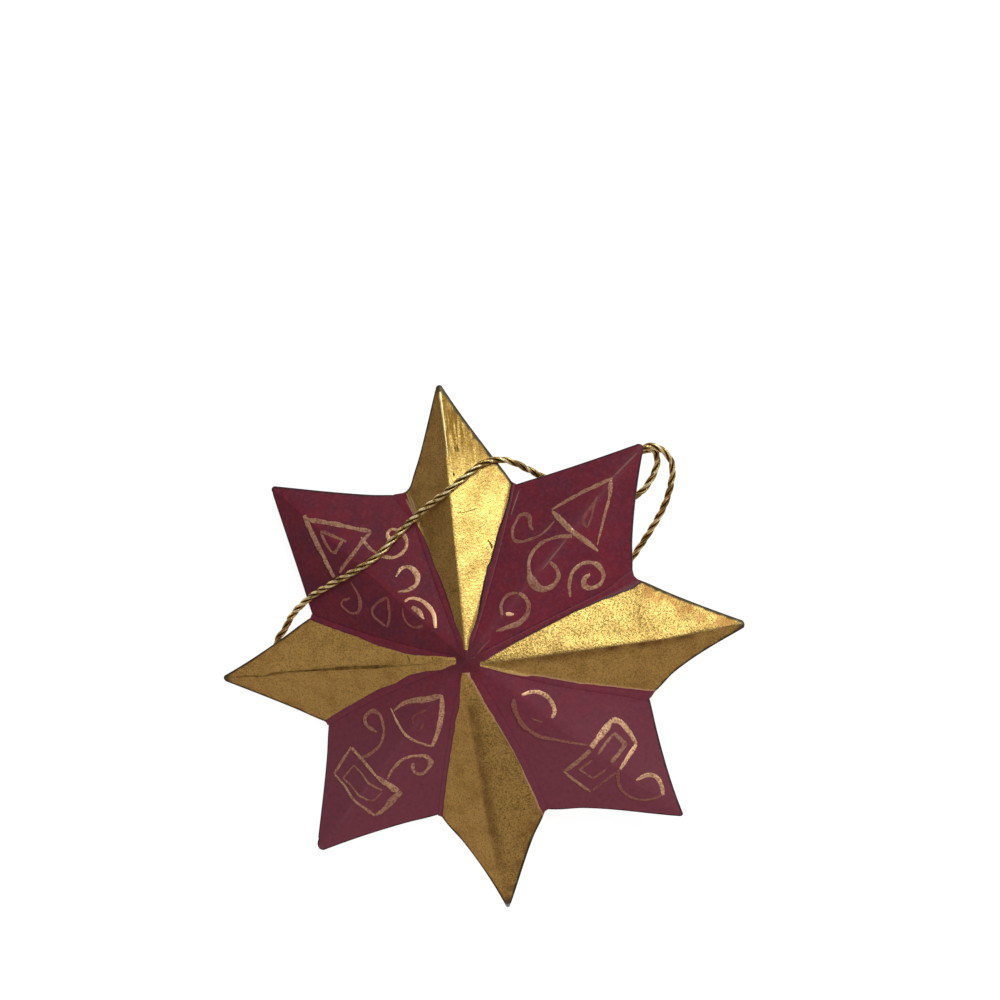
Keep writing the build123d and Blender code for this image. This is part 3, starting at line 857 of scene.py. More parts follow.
def gold_vertex(sizes, along, column, trim, sign):
    """Across-place, sideways place, height, distance from the rim and past the seam of a gold vertex."""
    side = 1 if sign > 0 else 0
    edge = gold_outline(sizes, along, trim, side)
    border = min(BORDER, edge / 2)
    rise = trim["rise"][side]
    bend = crease_line(sizes, along, rise)
    crease = max(min(bend, edge - border), edge * LEAST_CREASE)
    across, turn = column_place(column, crease, edge)
    inner = min(across, edge - roll_of(edge))
    top = max(
        fold_height(sizes, True, along, inner),
        lap_height(sizes, along, inner, rise),
        sizes.rim_land,
    )
    bottom = max(neighbour_height(sizes, True, along, edge), 0)
    height = bottom + (top - bottom) * math.cos(turn)
    centre, _, last = notch_arc(sizes, trim["notch"][side])
    if along > last:
        from_rim = (edge - across) * math.cos(rim_angle(sizes, True))
    else:
        from_rim = max((Vector((along, across)) - centre).length - trim["notch"][side], 0)
    bow = trim["bow"] * (1 - across / max(edge, ROLL)) * smooth_step(*BOW_FADE, along)
    return across, sign * across + bow, height, from_rim, (across - bend) * math.cos(sizes.gold_half_angle)


def burgundy_vertex(sizes, along, column, trim, sign):
    """The same for a vertex of a burgundy point, which has no seam."""
    edge = burgundy_outline(sizes, along, trim["waist"][sign > 0], trim["tip"])
    notch_along, notch_across = notch_of(sizes, False)
    has_rim = along > notch_along
    crease = edge - min(BORDER, edge / 2)
    across, turn = column_place(column, crease, edge)
    valley = along * math.tan(half_angle(sizes, False))
    if has_rim:
        inner = min(across, edge - roll_of(edge))
        top = max(fold_height(sizes, False, along, inner), sizes.rim_land)
        from_rim = (edge - across) * math.cos(rim_angle(sizes, False))
        return across, sign * across, top * math.cos(turn), from_rim, 0.0
    top = fold_height(sizes, False, along, across)
    if across > valley:
        gold_along = (along + across) / ROOT_TWO
        sink = HUB_SINK * smooth_step(*SINK_RAMP, gold_along)
        top = neighbour_height(sizes, False, along, across) - sink
    top = max(top, sizes.rim_land)
    from_rim = math.hypot(notch_along - along, max(notch_across - across, 0))
    return across, sign * across, top, from_rim, 0.0


def deselect():
    """Leaves edit mode with nothing selected."""
    if bpy.context.object and bpy.context.object.mode != "OBJECT":
        bpy.ops.object.mode_set(mode="OBJECT")
    bpy.ops.object.select_all(action="DESELECT")


def choose(*objects):
    """Selects these objects, the first one active."""
    deselect()
    for chosen in objects:
        chosen.select_set(True)
    bpy.context.view_layer.objects.active = objects[0]


def joined(name, pieces):
    """Makes these pieces one, with this name."""
    choose(*pieces)
    bpy.ops.object.join()
    whole = bpy.context.object
    whole.name = name
    return whole


def bent_grid(name, sizes, stations, side, index, vertex_of):
    """Adds a grid and bends it to one point of a sheet, where vertex_of says each vertex goes."""
    deselect()
    bpy.ops.mesh.primitive_grid_add(
        x_subdivisions=len(stations) - 1, y_subdivisions=2 * SIDE_COLUMNS, size=2, location=(0, 0, 0)
    )
    piece = bpy.context.object
    piece.name = name
    mesh = piece.data
    mesh.attributes.new("plan", "FLOAT_VECTOR", "POINT")
    mesh.attributes.new("seam", "FLOAT", "POINT")
    plan = mesh.attributes["plan"]
    seam = mesh.attributes["seam"]
    direction = index * POINT_STEP
    spokes = outline_spokes(sizes)
    for vertex in mesh.vertices:
        station = round((vertex.co.x + 1) / 2 * (len(stations) - 1))
        column = round(vertex.co.y * SIDE_COLUMNS)
        along = stations[station]
        sign = 1 if column >= 0 else -1
        across, sideways, height, from_rim, past_seam = vertex_of(along, abs(column), sign)
        x, y = hand_cut(sizes, along, sideways, direction, spokes)
        height += dent_at(sizes, x, y, side, from_rim)
        vertex.co = Vector((x, y, side * height)) * MM
        plan.data[vertex.index].vector = (along, sign * across, from_rim)
        seam.data[vertex.index].value = past_seam
    return piece


def finish_sheet(piece, sizes, side):
    """Welds the poles, turns the faces out, gives the wall its thickness and lays the piece in its place."""
    choose(piece)
    bpy.ops.object.mode_set(mode="EDIT")
    bpy.ops.mesh.select_all(action="SELECT")
    bpy.ops.mesh.remove_doubles(threshold=WELD)
    if side == BACK:
        bpy.ops.mesh.flip_normals()
    bpy.ops.object.mode_set(mode="OBJECT")
    wall = piece.modifiers.new("wall", "SOLIDIFY")
    wall.thickness = sizes.sheet * MM
    wall.offset = -1
    bpy.ops.object.modifier_apply(modifier=wall.name)
    for vertex in piece.data.vertices:
        vertex.co.z = side * max(side * vertex.co.z, 0)
    piece.matrix_world = STAR_PLACE
    bpy.ops.object.transform_apply(location=True, rotation=True, scale=True)
    bpy.ops.object.shade_smooth_by_angle(angle=SMOOTH_ANGLE)
    return piece


def paint(piece, material):
    """Gives a piece its one material."""
    piece.data.materials.clear()
    piece.data.materials.append(material)


# Materials
class Bench:
    """A material's node tree, with short ways to add nodes to it."""

    def __init__(self, name):
        self.material = bpy.data.materials.new(name)
        self.material.use_nodes = True
        self.tree = self.material.node_tree
        self.shader = self.tree.nodes["Principled BSDF"]

    @cached_property
    def place(self):
        """Where on the object a shaded point lies."""
        return self.add("ShaderNodeTexCoord").outputs["Object"]

    def add(self, kind, settings=None, **inputs):
        """Adds a node; an input is a value or another node's output."""
        added = self.tree.nodes.new(kind)
        for key, value in (settings or {}).items():
            setattr(added, key, value)
        self.fill(added, inputs)
        return added

    def fill(self, node, inputs):
        """Sets or links a node's inputs by their names, with _ for a space."""
        for key, value in inputs.items():
            self.put(node.inputs[key.replace("_", " ")], value)

    def put(self, socket, value):
        """Sets a socket, or links it."""
        if isinstance(value, bpy.types.NodeSocket):
            self.tree.links.new(value, socket)
        else:
            socket.default_value = value

    def surface(self, **inputs):
        """Sets or links the shader's inputs and gives the finished material."""
        self.fill(self.shader, inputs)
        return self.material

    def math(self, operation, first, second=0.0):
        """One arithmetic step."""
        added = self.add("ShaderNodeMath", {"operation": operation})
        self.put(added.inputs[0], first)
        self.put(added.inputs[1], second)
        return added.outputs[0]

    def plus(self, first, second):
        """Sum of two values."""
        return self.math("ADD", first, second)

    def times(self, first, *others, clamp=False):
        """Product of values, whose last step may be kept between 0 and 1."""
        for other in others:
            first = self.math("MULTIPLY", first, other)
        first.node.use_clamp = clamp
        return first

    def scaled(self, value, factor, offset):
        """A value times a factor, plus an offset."""
        return self.plus(self.times(value, factor), offset)

    def band(self, value, low, high):
        """0 where value is at low, 1 at high, smooth between; low may be the larger."""
        added = self.add("ShaderNodeMapRange", {"interpolation_type": "SMOOTHSTEP"}, Value=value)
        added.inputs["From Min"].default_value = min(low, high)
        added.inputs["From Max"].default_value = max(low, high)
        added.inputs["To Min"].default_value = 0 if low < high else 1
        added.inputs["To Max"].default_value = 1 if low < high else 0
        return added.outputs["Result"]

    def blend(self, first, second, share, strength=1.0):
        """Colour that goes from the first towards the second by a share of a strength."""
        if strength != 1.0:
            share = self.times(share, strength)
        added = self.add("ShaderNodeMix", {"data_type": "RGBA"})
        self.put(added.inputs[0], share)
        self.put(added.inputs[6], first)
        self.put(added.inputs[7], second)
        return added.outputs[2]

    def toned(self, tone):
        """Colour as light as the mesh says its side is painted, which is painted light and shade."""
        lightness = self.attribute("tone")
        added = self.add("ShaderNodeVectorMath", {"operation": "SCALE"}, Vector=tone, Scale=lightness)
        return added.outputs["Vector"]

    def attribute(self, name, output="Fac"):
        """What the mesh keeps for its points under this name."""
        return self.add("ShaderNodeAttribute", {"attribute_name": name}).outputs[output]

    def plan(self):
        """Place along the point and distances from its ridge and its rim, in millimetres."""
        parts = self.add("ShaderNodeSeparateXYZ", Vector=self.attribute("plan", "Vector")).outputs
        return parts["X"], self.math("ABSOLUTE", parts["Y"]), parts["Z"]

    def grain(self, size, detail=3.0, roughness=0.55, place=None):
        """Noise whose lumps are about this many millimetres across."""
        added = self.add("ShaderNodeTexNoise", Scale=1 / (size * MM), Detail=detail, Roughness=roughness)
        self.put(added.inputs["Vector"], self.place if place is None else place)
        return added.outputs["Fac"]

    def bump(self, height, strength, depth):
        """Relief of this depth from a height."""
        added = self.add("ShaderNodeBump", Strength=strength, Distance=depth, Height=height)
        return added.outputs["Normal"]


def burgundy_tone(bench, colours, along):
    """Mottled burgundy, greyer on the lower points by a painted sheen, and darker at the hub."""
    patches = bench.grain(8.0)
    clouds = bench.grain(3.0, 4)
    fine = bench.grain(0.5)
    freckles = bench.grain(0.7, 2)
    height = bench.add("ShaderNodeSeparateXYZ", Vector=bench.place).outputs["Y"]
    tone = bench.blend(colours.burgundy, colours.burgundy_deep, bench.band(patches, 0.38, 0.64))
    tone = bench.blend(tone, BROWN_CLOUD, bench.band(clouds, 0.50, 0.66), 0.7)
    tone = bench.blend(tone, RED_CLOUD, bench.band(clouds, 0.48, 0.34), 0.7)
    tone = bench.blend(tone, FINE_MOTTLE, bench.band(fine, 0.45, 0.75), 0.5)
    # Painted sheen: greyer towards the lower points
    tone = bench.blend(tone, colours.burgundy_sheen, bench.band(height, *SHEEN_HEIGHTS))
    tone = bench.blend(tone, PALE_FRECKLE, bench.band(freckles, 0.5, 0.75), 0.25)
    tone = bench.blend(tone, DARK_FRECKLE, bench.band(freckles, 0.5, 0.25), 0.25)
    return bench.blend(tone, DARK_HUB, bench.band(along, 4.5, 1.5), 0.6)


def gold_paint(colours):
    """Rubbed gold paint with grain, specks, worn ridge, bare tip and burgundy laps, and painted light and
    shade.
    """
    bench = Bench("gold_paint")
    along, across, from_rim = bench.plan()
    brushed = bench.add("ShaderNodeVectorMath", {"operation": "MULTIPLY"})
    bench.put(brushed.inputs[0], bench.attribute("plan", "Vector"))
    bench.put(brushed.inputs[1], BRUSHED)

    patches = bench.grain(3.2, 5)
    specks = bench.grain(0.27, 2, 0.65)
    dimples = bench.grain(0.40, 1, 0.5)
    streaks = bench.grain(0.9, 4, place=brushed.outputs[0])
    edge_noise = bench.grain(1.6, 4)
    smears = bench.grain(2.2, 4)

    tone = bench.blend(colours.gold, colours.gold_deep, bench.band(patches, 0.45, 0.75))
    tone = bench.blend(tone, colours.gold_deep, bench.band(streaks, 0.50, 0.75), 0.5)
    speckled = bench.plus(specks, bench.scaled(patches, 0.15, -0.075))
    speckled = bench.times(bench.band(speckled, 0.42, 0.66), bench.attribute("grain"))
    tone = bench.blend(tone, GOLD_SPECK, bench.times(speckled, 0.85, clamp=True))
    near_rim = bench.band(from_rim, 3.8, 0.3)
    smear = bench.times(bench.band(smears, 0.40, 0.60), near_rim, bench.attribute("blush"))
    tone = bench.blend(tone, BROWN_BLUSH, smear, 0.8)
    streaked = bench.times(bench.attribute("streaked"), bench.band(streaks, 0.32, 0.58))
    tone = bench.blend(tone, BROWN_STREAK, streaked)
    # Painted shade beside the ridge, in patches
    painted_ridge_shade = bench.times(bench.attribute("painted_ridge_shade"), bench.scaled(smears, 2.4, -0.3), clamp=True)
    tone = bench.blend(tone, RIDGE_SHADE_BROWN, painted_ridge_shade)
    # Painted light and shade: each side made lighter or darker
    tone = bench.toned(tone)

    # Painted shade along the turned-down rim, as a dark band
    rim_reach = bench.plus(from_rim, bench.times(edge_noise, -0.6))
    rim_shade = bench.band(rim_reach, 0.24, -0.10)
    ridge_reach = bench.plus(across, bench.times(edge_noise, -0.5))
    ridge_wear = bench.times(bench.band(ridge_reach, 0.0, -0.14), bench.attribute("ridge"))
    tone = bench.blend(tone, WORN_RIDGE, ridge_wear)
    tone = bench.blend(tone, RIM_SHADE, rim_shade)
    tone = bench.blend(tone, WORN_TIP, bench.band(along, 42.8, 44.6), 0.8)
    tone = bench.blend(tone, BARE_TIN, bench.attribute("bare"))

    uneven = bench.times(bench.plus(edge_noise, -0.5), 0.3)
    past_seam = bench.plus(bench.attribute("seam"), uneven)
    line = bench.attribute("line")
    pale_line = bench.times(line, -1.0, clamp=True)
    pale_band = bench.band(past_seam, -0.34, -0.16)
    pale_seam = bench.times(pale_band, bench.scaled(patches, 0.8, 0.3), pale_line, clamp=True)
    is_lap = bench.band(past_seam, -0.06, 0.04)
    # Painted shadow in the crease where the gold meets the burgundy
    crease_shadow_strength = bench.times(line, bench.band(along, 3.0, 9.0), clamp=True)
    from_groove = bench.math("ABSOLUTE", bench.plus(past_seam, -0.12))
    crease_shadow = bench.times(bench.band(from_groove, 0.22, 0.06), crease_shadow_strength)
    lap_colour = bench.blend(burgundy_tone(bench, colours, along), SEAM_CREASE_SHADOW, crease_shadow)
    tone = bench.blend(tone, PALE_SEAM, pale_seam)

    dull = bench.math("MAXIMUM", rim_shade, ridge_wear)
    shine = bench.times(bench.scaled(dull, -0.5, 1.0), bench.scaled(pale_seam, -0.6, 1.0))
    relief = bench.plus(dimples, bench.times(streaks, 0.4))
    return bench.surface(
        Base_Color=bench.blend(tone, lap_colour, is_lap),
        Metallic=bench.times(shine, bench.scaled(is_lap, -1.0, 1.0)),
        Roughness=bench.scaled(patches, 0.16, 0.37),
        Specular_IOR_Level=PAINT_SPECULAR,
        Normal=bench.bump(relief, bench.scaled(is_lap, -0.6, 0.8), GOLD_RELIEF),
    )


def burgundy_paint(colours):
    """Satin burgundy paint: soft mottling, ridges rubbed with a faint painted highlight, painted shade at the
    rims.
    """
    bench = Bench("burgundy_paint")
    along, across, from_rim = bench.plan()
    fine = bench.grain(0.5)
    edge_noise = bench.grain(1.3, 4)
    rubbed = bench.grain(4.0, 2)
    tone = burgundy_tone(bench, colours, along)

    # Lighter line along the ridge: rubbed paint with a faint painted highlight of the fold
    ridge_reach = bench.plus(across, bench.times(edge_noise, -0.6))
    ridge_wear = bench.times(bench.band(ridge_reach, 0.05, -0.15), bench.band(rubbed, 0.50, 0.66))
    past_hub = bench.times(bench.band(along, 6.0, 14.0), 0.10)
    rim_reach = bench.plus(from_rim, bench.times(edge_noise, -0.5))
    tone = bench.blend(tone, RUBBED_BURGUNDY_HIGHLIGHT, bench.times(ridge_wear, past_hub))
    # Painted shade along the turned-down rim
    tone = bench.blend(tone, BURGUNDY_RIM_SHADE, bench.band(rim_reach, 0.10, -0.14), 0.85)
    return bench.surface(
        # Painted light and shade: each side made lighter or darker
        Base_Color=bench.toned(tone),
        Roughness=bench.scaled(edge_noise, 0.2, 0.36),
        Specular_IOR_Level=PAINT_SPECULAR,
        Normal=bench.bump(fine, 0.3, BURGUNDY_RELIEF),
    )


def scroll_paint(colours):
    """Gold brush strokes, thin enough to let the burgundy through."""
    bench = Bench("scroll_paint")
    specks = bench.grain(0.35, 2, 0.7)
    patches = bench.grain(2.4)
    left = bench.scaled(bench.band(specks, 0.42, 0.72), -0.55, 1.0)
    laid = bench.scaled(patches, -0.8, 1.4)
    thick = bench.math("POWER", bench.times(bench.attribute("cover"), left, laid, clamp=True), 1.8)
    gold = bench.blend(colours.scroll_thin, colours.scroll, thick)
    return bench.surface(
        Base_Color=bench.blend(colours.burgundy, gold, thick),
        Metallic=bench.times(thick, 0.6),
        Roughness=0.48,
        Specular_IOR_Level=PAINT_SPECULAR,
        Normal=bench.bump(specks, 0.5, STROKE_RELIEF),
    )


def crack_paint():
    """Dark brown where the gold paint has cracked."""
    bench = Bench("crack_paint")
    patches = bench.grain(0.8)
    share = bench.times(bench.attribute("cover"), bench.scaled(patches, 0.8, 0.55), clamp=True)
    return bench.surface(
        Base_Color=bench.blend(CRACK_EDGE, CRACK_DEPTH, share),
        Roughness=0.7,
        Specular_IOR_Level=0.0,
    )


def pale_paint_and_highlight():
    """Pale gold where an edge is rubbed, and painted highlights and sheen along folds and lap edges."""
    bench = Bench("pale_paint_and_highlight")
    cover = bench.attribute("cover")
    patches = bench.grain(0.9)
    share = bench.times(cover, bench.scaled(patches, 0.8, 0.6), clamp=True)
    return bench.surface(
        Base_Color=bench.blend(THIN_RUB_AND_SHEEN, PALE_RUB_AND_HIGHLIGHT, share),
        Metallic=bench.band(cover, 0.3, 1.0),
        Roughness=0.5,
        Specular_IOR_Level=PAINT_SPECULAR,
    )


def cord_foil(colours):
    """Foil-wrapped thread, with painted shade between the plies and painted highlights on their crowns."""
    bench = Bench("metallic_cord")
    crown = bench.attribute("crown")
    threads = bench.grain(0.25, 2, 0.6)
    patches = bench.grain(1.4)
    tone = bench.blend(colours.cord, DULL_FOIL, bench.band(patches, 0.42, 0.66))
    tone = bench.blend(tone, DARK_THREAD, bench.band(threads, 0.54, 0.72), 0.6)
    # Painted shade between the plies
    tone = bench.blend(tone, SHADE_BETWEEN_PLIES, bench.band(crown, 0.88, 0.62))
    # Painted highlights on the crowns of the plies, brightest in the painted glints
    bright = bench.math("MAXIMUM", bench.band(patches, 0.52, 0.44), bench.attribute("painted_glint"))
    foil = bench.times(bench.band(crown, 0.86, 0.95), bright)
    return bench.surface(
        Base_Color=bench.blend(tone, PAINTED_FOIL_HIGHLIGHT, foil),
        Metallic=bench.scaled(foil, 0.2, 0.75),
        Roughness=bench.scaled(foil, 0.22, 0.25),
        Normal=bench.bump(threads, 0.5, THREAD_RELIEF),
    )


def floor_paper():
    """White paper that stays white to the camera and in reflections, and keeps a soft shadow."""
    bench = Bench("floor_paper")
    light_path = bench.add("ShaderNodeLightPath").outputs
    seen = bench.math("MAXIMUM", light_path["Is Camera Ray"], light_path["Is Glossy Ray"])
    seen = bench.math("MAXIMUM", seen, light_path["Is Transmission Ray"])
    glow = bench.add("ShaderNodeEmission", Color=WHITE, Strength=FLOOR_WHITE)
    mix = bench.add("ShaderNodeMixShader")
    bench.put(mix.inputs[0], bench.times(seen, FLOOR_GLOW))
    bench.put(mix.inputs[1], bench.shader.outputs["BSDF"])
    bench.put(mix.inputs[2], glow.outputs["Emission"])
    bench.put(bench.tree.nodes["Material Output"].inputs["Surface"], mix.outputs["Shader"])
    return bench.surface(Base_Color=PAPER, Roughness=FLOOR_ROUGHNESS)


# Pieces, each with the operator that makes it
def note_tone(point, tones):
    """Keeps on the mesh how light each side of a point is painted, which is painted light and shade."""
    attributes = point.data.attributes
    attributes.new("tone", "FLOAT", "POINT")
    for number, entry in enumerate(attributes["plan"].data):
        attributes["tone"].data[number].value = tones[entry.vector.y > 0]


def cut_cord_slot(sheet):
    """Cuts the round-ended slot that both strands of the cord go in by."""
    deselect()
    bpy.ops.mesh.primitive_cube_add(size=1, location=(0, 0, 0))
    cutter = bpy.context.object
    cutter.scale = Vector(SLOT_SIZE) * MM
    bpy.ops.object.transform_apply(scale=True)
    bpy.ops.object.mode_set(mode="EDIT")
    bpy.ops.mesh.select_all(action="SELECT")
    bpy.ops.mesh.bevel(offset=SLOT_CORNER * MM, segments=2, affect="EDGES")
    bpy.ops.object.mode_set(mode="OBJECT")
    direction = FIRST_ANGLE + CORD_POINT * POINT_STEP
    place = Vector((SLOT_PLACE * math.cos(direction), SLOT_PLACE * math.sin(direction), SLOT_HEIGHT)) * MM
    cutter.matrix_world = STAR_PLACE @ Matrix.Translation(place) @ Matrix.Rotation(direction, 4, "Z")
    choose(sheet)
    cut = sheet.modifiers.new("slot", "BOOLEAN")
    cut.operation = "DIFFERENCE"
    cut.object = cutter
    bpy.ops.object.modifier_apply(modifier=cut.name)
    bpy.data.objects.remove(cutter)


class STAR_OT_burgundy_sheets(bpy.types.Operator):
    """Fold the front and the back burgundy sheet, each with four points joined at the hub"""

    bl_idname = "star.burgundy_sheets"
    bl_label = "Burgundy Sheets"

    def execute(self, context):
        sizes = context.scene.star_sizes
        material = burgundy_paint(context.scene.star_colours)
        for side, node in ((FRONT, "front_burgundy_star"), (BACK, "back_burgundy_star")):
            points = []
            for label, index in BURGUNDY_POINTS.items():
                trim = BURGUNDY_TRIM[label]
                point = bent_grid(
                    label,
                    sizes,
                    spread(BURGUNDY_MARKS, tip_end(sizes, False, trim["tip"])),
                    side,
                    index,
                    lambda along, column, sign: burgundy_vertex(sizes, along, column, trim, sign),
                )
                note_tone(point, trim["tone"])
                points.append(point)
            sheet = finish_sheet(joined(node + "_sheet", points), sizes, side)
            if side == BACK:
                cut_cord_slot(sheet)
            paint(sheet, material)
            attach(sheet, "root")
            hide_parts(node)
        return {"FINISHED"}


def note_wear(point, trim, side):
    """Keeps on the mesh how its paint is worn, and its painted shade beside the ridge and towards the tip."""
    attributes = point.data.attributes
    for name in ("ridge", "bare", "painted_ridge_shade", "streaked", "line", "grain", "blush"):
        attributes.new(name, "FLOAT", "POINT")
    painted_ridge_shade = trim["painted_ridge_shade"]
    streaks = trim["streaks"]
    for number, entry in enumerate(attributes["plan"].data):
        along, across, _ = entry.vector
        for name in ("line", "grain", "blush"):
            attributes[name].data[number].value = trim[name][across > 0]
        attributes["ridge"].data[number].value = trim["ridge"]
        if side == FRONT:
            attributes["bare"].data[number].value = trim["bare"] * smooth_step(*BARE_TIP, along)
        # Painted shade beside the ridge, faded at its ends
        ends = smooth_step(painted_ridge_shade["from"], painted_ridge_shade["from"] + RIDGE_SHADE_START, along)
        ends *= smooth_step(painted_ridge_shade["to"], painted_ridge_shade["to"] - RIDGE_SHADE_END, along)
        near = smooth_step(painted_ridge_shade["width"][across > 0], 0, abs(across))
        attributes["painted_ridge_shade"].data[number].value = painted_ridge_shade["strength"] * ends * near
        if across <= 0:
            tip_share = smooth_step(streaks["from"], streaks["from"] + STREAK_FADE, along)
            attributes["streaked"].data[number].value = streaks["strength"] * tip_share
            # Painted shade: the clockwise side darkens towards the tip
            attributes["tone"].data[number].value *= 1 - streaks["painted_tip_shade"] * tip_share


def paint_edges(point, pixel_lines):
    """Along-place and seam distance of where the gold paint ends on each side of the front point."""
    mesh = point.data
    edges = []
    for pixels in pixel_lines:
        edge = []
        for pixel in pixels:
            hit, place, _, face = point.ray_cast(CAMERA_PLACE, view_ray(pixel))
            if not hit:
                continue
            corners = mesh.polygons[face].vertices
            shares = interpolate.poly_3d_calc([mesh.vertices[corner].co for corner in corners], place)
            along = 0.0
            seam = 0.0
            for corner, share in zip(corners, shares):
                along += share * mesh.attributes["plan"].data[corner].vector.x
                seam += share * mesh.attributes["seam"].data[corner].value
            edge.append((along, seam))
        edges.append(sorted(edge))
    return edges


def note_edges(point, edges, spills):
    """Moves the seam kept on the mesh to where the gold paint ends."""
    attributes = point.data.attributes
    for number, entry in enumerate(attributes["plan"].data):
        along, across, _ = entry.vector
        edge = edges[across > 0]
        end = min(edge[0][0], HUB_END)
        shift = edge[0][1]
        for before, after in zip(edge, edge[1:]):
            if along > before[0]:
                share = min((along - before[0]) / (after[0] - before[0]), 1)
                shift = before[1] + (after[1] - before[1]) * share
        spill = HUB_SPILL * smooth_step(*SPILL_FADE, along)
        spill = max(spill, spills[across > 0] * smooth_step(*NOTCH_SPILL, along))
        seam = attributes["seam"].data[number]
        seam.value = max(seam.value - min(shift, spill), end - along)


class STAR_OT_gold_points(bpy.types.Operator):
    """Fold the eight gold points, whose edge strips lap on the burgundy sheets"""

    bl_idname = "star.gold_points"
    bl_label = "Gold Points"

    def execute(self, context):
        sizes = context.scene.star_sizes
        material = gold_paint(context.scene.star_colours)
        edges = {}
        for side, half in ((FRONT, "front"), (BACK, "back")):
            for label, index in GOLD_POINTS.items():
                trim = GOLD_TRIM[label]
                node = half + "_gold_point_" + label
                point = bent_grid(
                    node + "_sheet",
                    sizes,
                    spread(GOLD_MARKS, tip_end(sizes, True, trim["tip"])),
                    side,
                    index,
                    lambda along, column, sign: gold_vertex(sizes, along, column, trim, sign),
                )
                finish_sheet(point, sizes, side)
                note_tone(point, trim["tone"])
                note_wear(point, trim, side)
                if side == FRONT:
                    edges[label] = paint_edges(point, GOLD_EDGES[label])
                note_edges(point, edges[label], trim["spill"])
                paint(point, material)
                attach(point, "root")
                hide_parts(node)
        return {"FINISHED"}


def place_on_sheet(sheet, pixel):
    """Place on the front sheet that a pixel of the photograph shows."""
    hit, place, _, _ = sheet.ray_cast(CAMERA_PLACE, view_ray(pixel))
    if not hit:
        raise RuntimeError("no sheet under the stroke at " + str(pixel))
    return place


def curve_object(name, kind, places):
    """Adds a curve with one spline of this kind through these places."""
    curve = bpy.data.curves.new(name, "CURVE")
    curve.dimensions = "3D"
    spline = curve.splines.new(kind)
    points = spline.bezier_points if kind == "BEZIER" else spline.points
    points.add(len(places) - 1)
    for point, place in zip(points, places):
        point.co = place if kind == "BEZIER" else (*place, 1)
    holder = bpy.data.objects.new(name, curve)
    bpy.context.collection.objects.link(holder)
    return holder


def brush_profile(height):
    """Flat oval section of a brush stroke."""
    deselect()
    bpy.ops.curve.primitive_bezier_circle_add(radius=1)
    oval = bpy.context.object
    oval.name = "brush_profile"
    oval.scale = (1, height, 1)
    bpy.ops.object.transform_apply(scale=True)
    oval.data.resolution_u = BRUSH_SIDES
    return oval


def along_list(values, share):
    """Value at a share of the way along a list, straight between its entries."""
    place = share * (len(values) - 1)
    before = min(int(place), len(values) - 2)
    return values[before] + (values[before + 1] - values[before]) * (place - before)


def brush_stroke(sheet, profile, line, widths, cover, pixels):
    """Lays one stroke on the sheet: its line dropped on the surface, then given the brush's width."""
    above = [place_on_sheet(sheet, pixel) + Vector((0, 0, STROKE_LIFT)) for pixel in pixels]
    stroke = curve_object("stroke", "BEZIER", above)
    stroke.data.resolution_u = STROKE_STEPS
    handle = "VECTOR" if line == STRAIGHT else "AUTO"
    for point in stroke.data.splines[0].bezier_points:
        point.handle_left_type = handle
        point.handle_right_type = handle
    choose(stroke)
    bpy.ops.object.convert(target="MESH")
    if line == STRAIGHT:
        bpy.ops.object.mode_set(mode="EDIT")
        bpy.ops.mesh.select_all(action="SELECT")
        bpy.ops.mesh.subdivide(number_cuts=STROKE_STEPS)
        bpy.ops.object.mode_set(mode="OBJECT")
    drop = stroke.modifiers.new("drop", "SHRINKWRAP")
    drop.target = sheet
    drop.wrap_method = "PROJECT"
    drop.use_project_z = True
    drop.use_negative_direction = True
    drop.use_positive_direction = False
    bpy.ops.object.modifier_apply(modifier=drop.name)
    bpy.ops.object.convert(target="CURVE")
    laid = stroke.data
    laid.dimensions = "3D"
    laid.twist_mode = "Z_UP"
    laid.bevel_mode = "OBJECT"
    laid.bevel_object = profile
    laid.use_fill_caps = True
    for run in laid.splines:
        last = len(run.points) - 1
        for number, point in enumerate(run.points):
            ends = min(number, last - number, STROKE_ENDS) / STROKE_ENDS
            wobble = 1 + STROKE_WOBBLE * noise.noise(point.co.to_3d() / STROKE_WOBBLE_SIZE)
            width = along_list(widths, number / last) * wobble
            width *= STROKE_END_WIDTH + (1 - STROKE_END_WIDTH) * ends
            point.radius = width * STROKE_SPREAD / 2 / PIXELS_PER_METRE
    bpy.ops.object.convert(target="MESH")
    thickness = stroke.data.attributes.new("cover", "FLOAT", "POINT")
    for entry in thickness.data:
        entry.value = cover
    return stroke


def draw_lines(name, lines, height, material):
    """Lays the strokes on the sheets that carry them, as one painted piece."""
    profile = brush_profile(height)
    laid = []
    for sheet, strokes in lines.items():
        laid += [brush_stroke(bpy.data.objects[sheet], profile, *stroke) for stroke in strokes]
    bpy.data.objects.remove(profile)
    drawn = joined(name, laid)
    bpy.ops.object.shade_smooth()
    paint(drawn, material)
    return drawn


class STAR_OT_scrolls(bpy.types.Operator):
    """Paint the gold scrolls on the front of the burgundy points"""

    bl_idname = "star.scrolls"
    bl_label = "Painted Scrolls"

    def execute(self, context):
        material = scroll_paint(context.scene.star_colours)
        for label, strokes in SCROLLS.items():
            lines = {"front_burgundy_star_sheet": strokes}
            scroll = draw_lines(label + "_scrolls", lines, STROKE_HEIGHT, material)
            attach(scroll, "root")
        return {"FINISHED"}


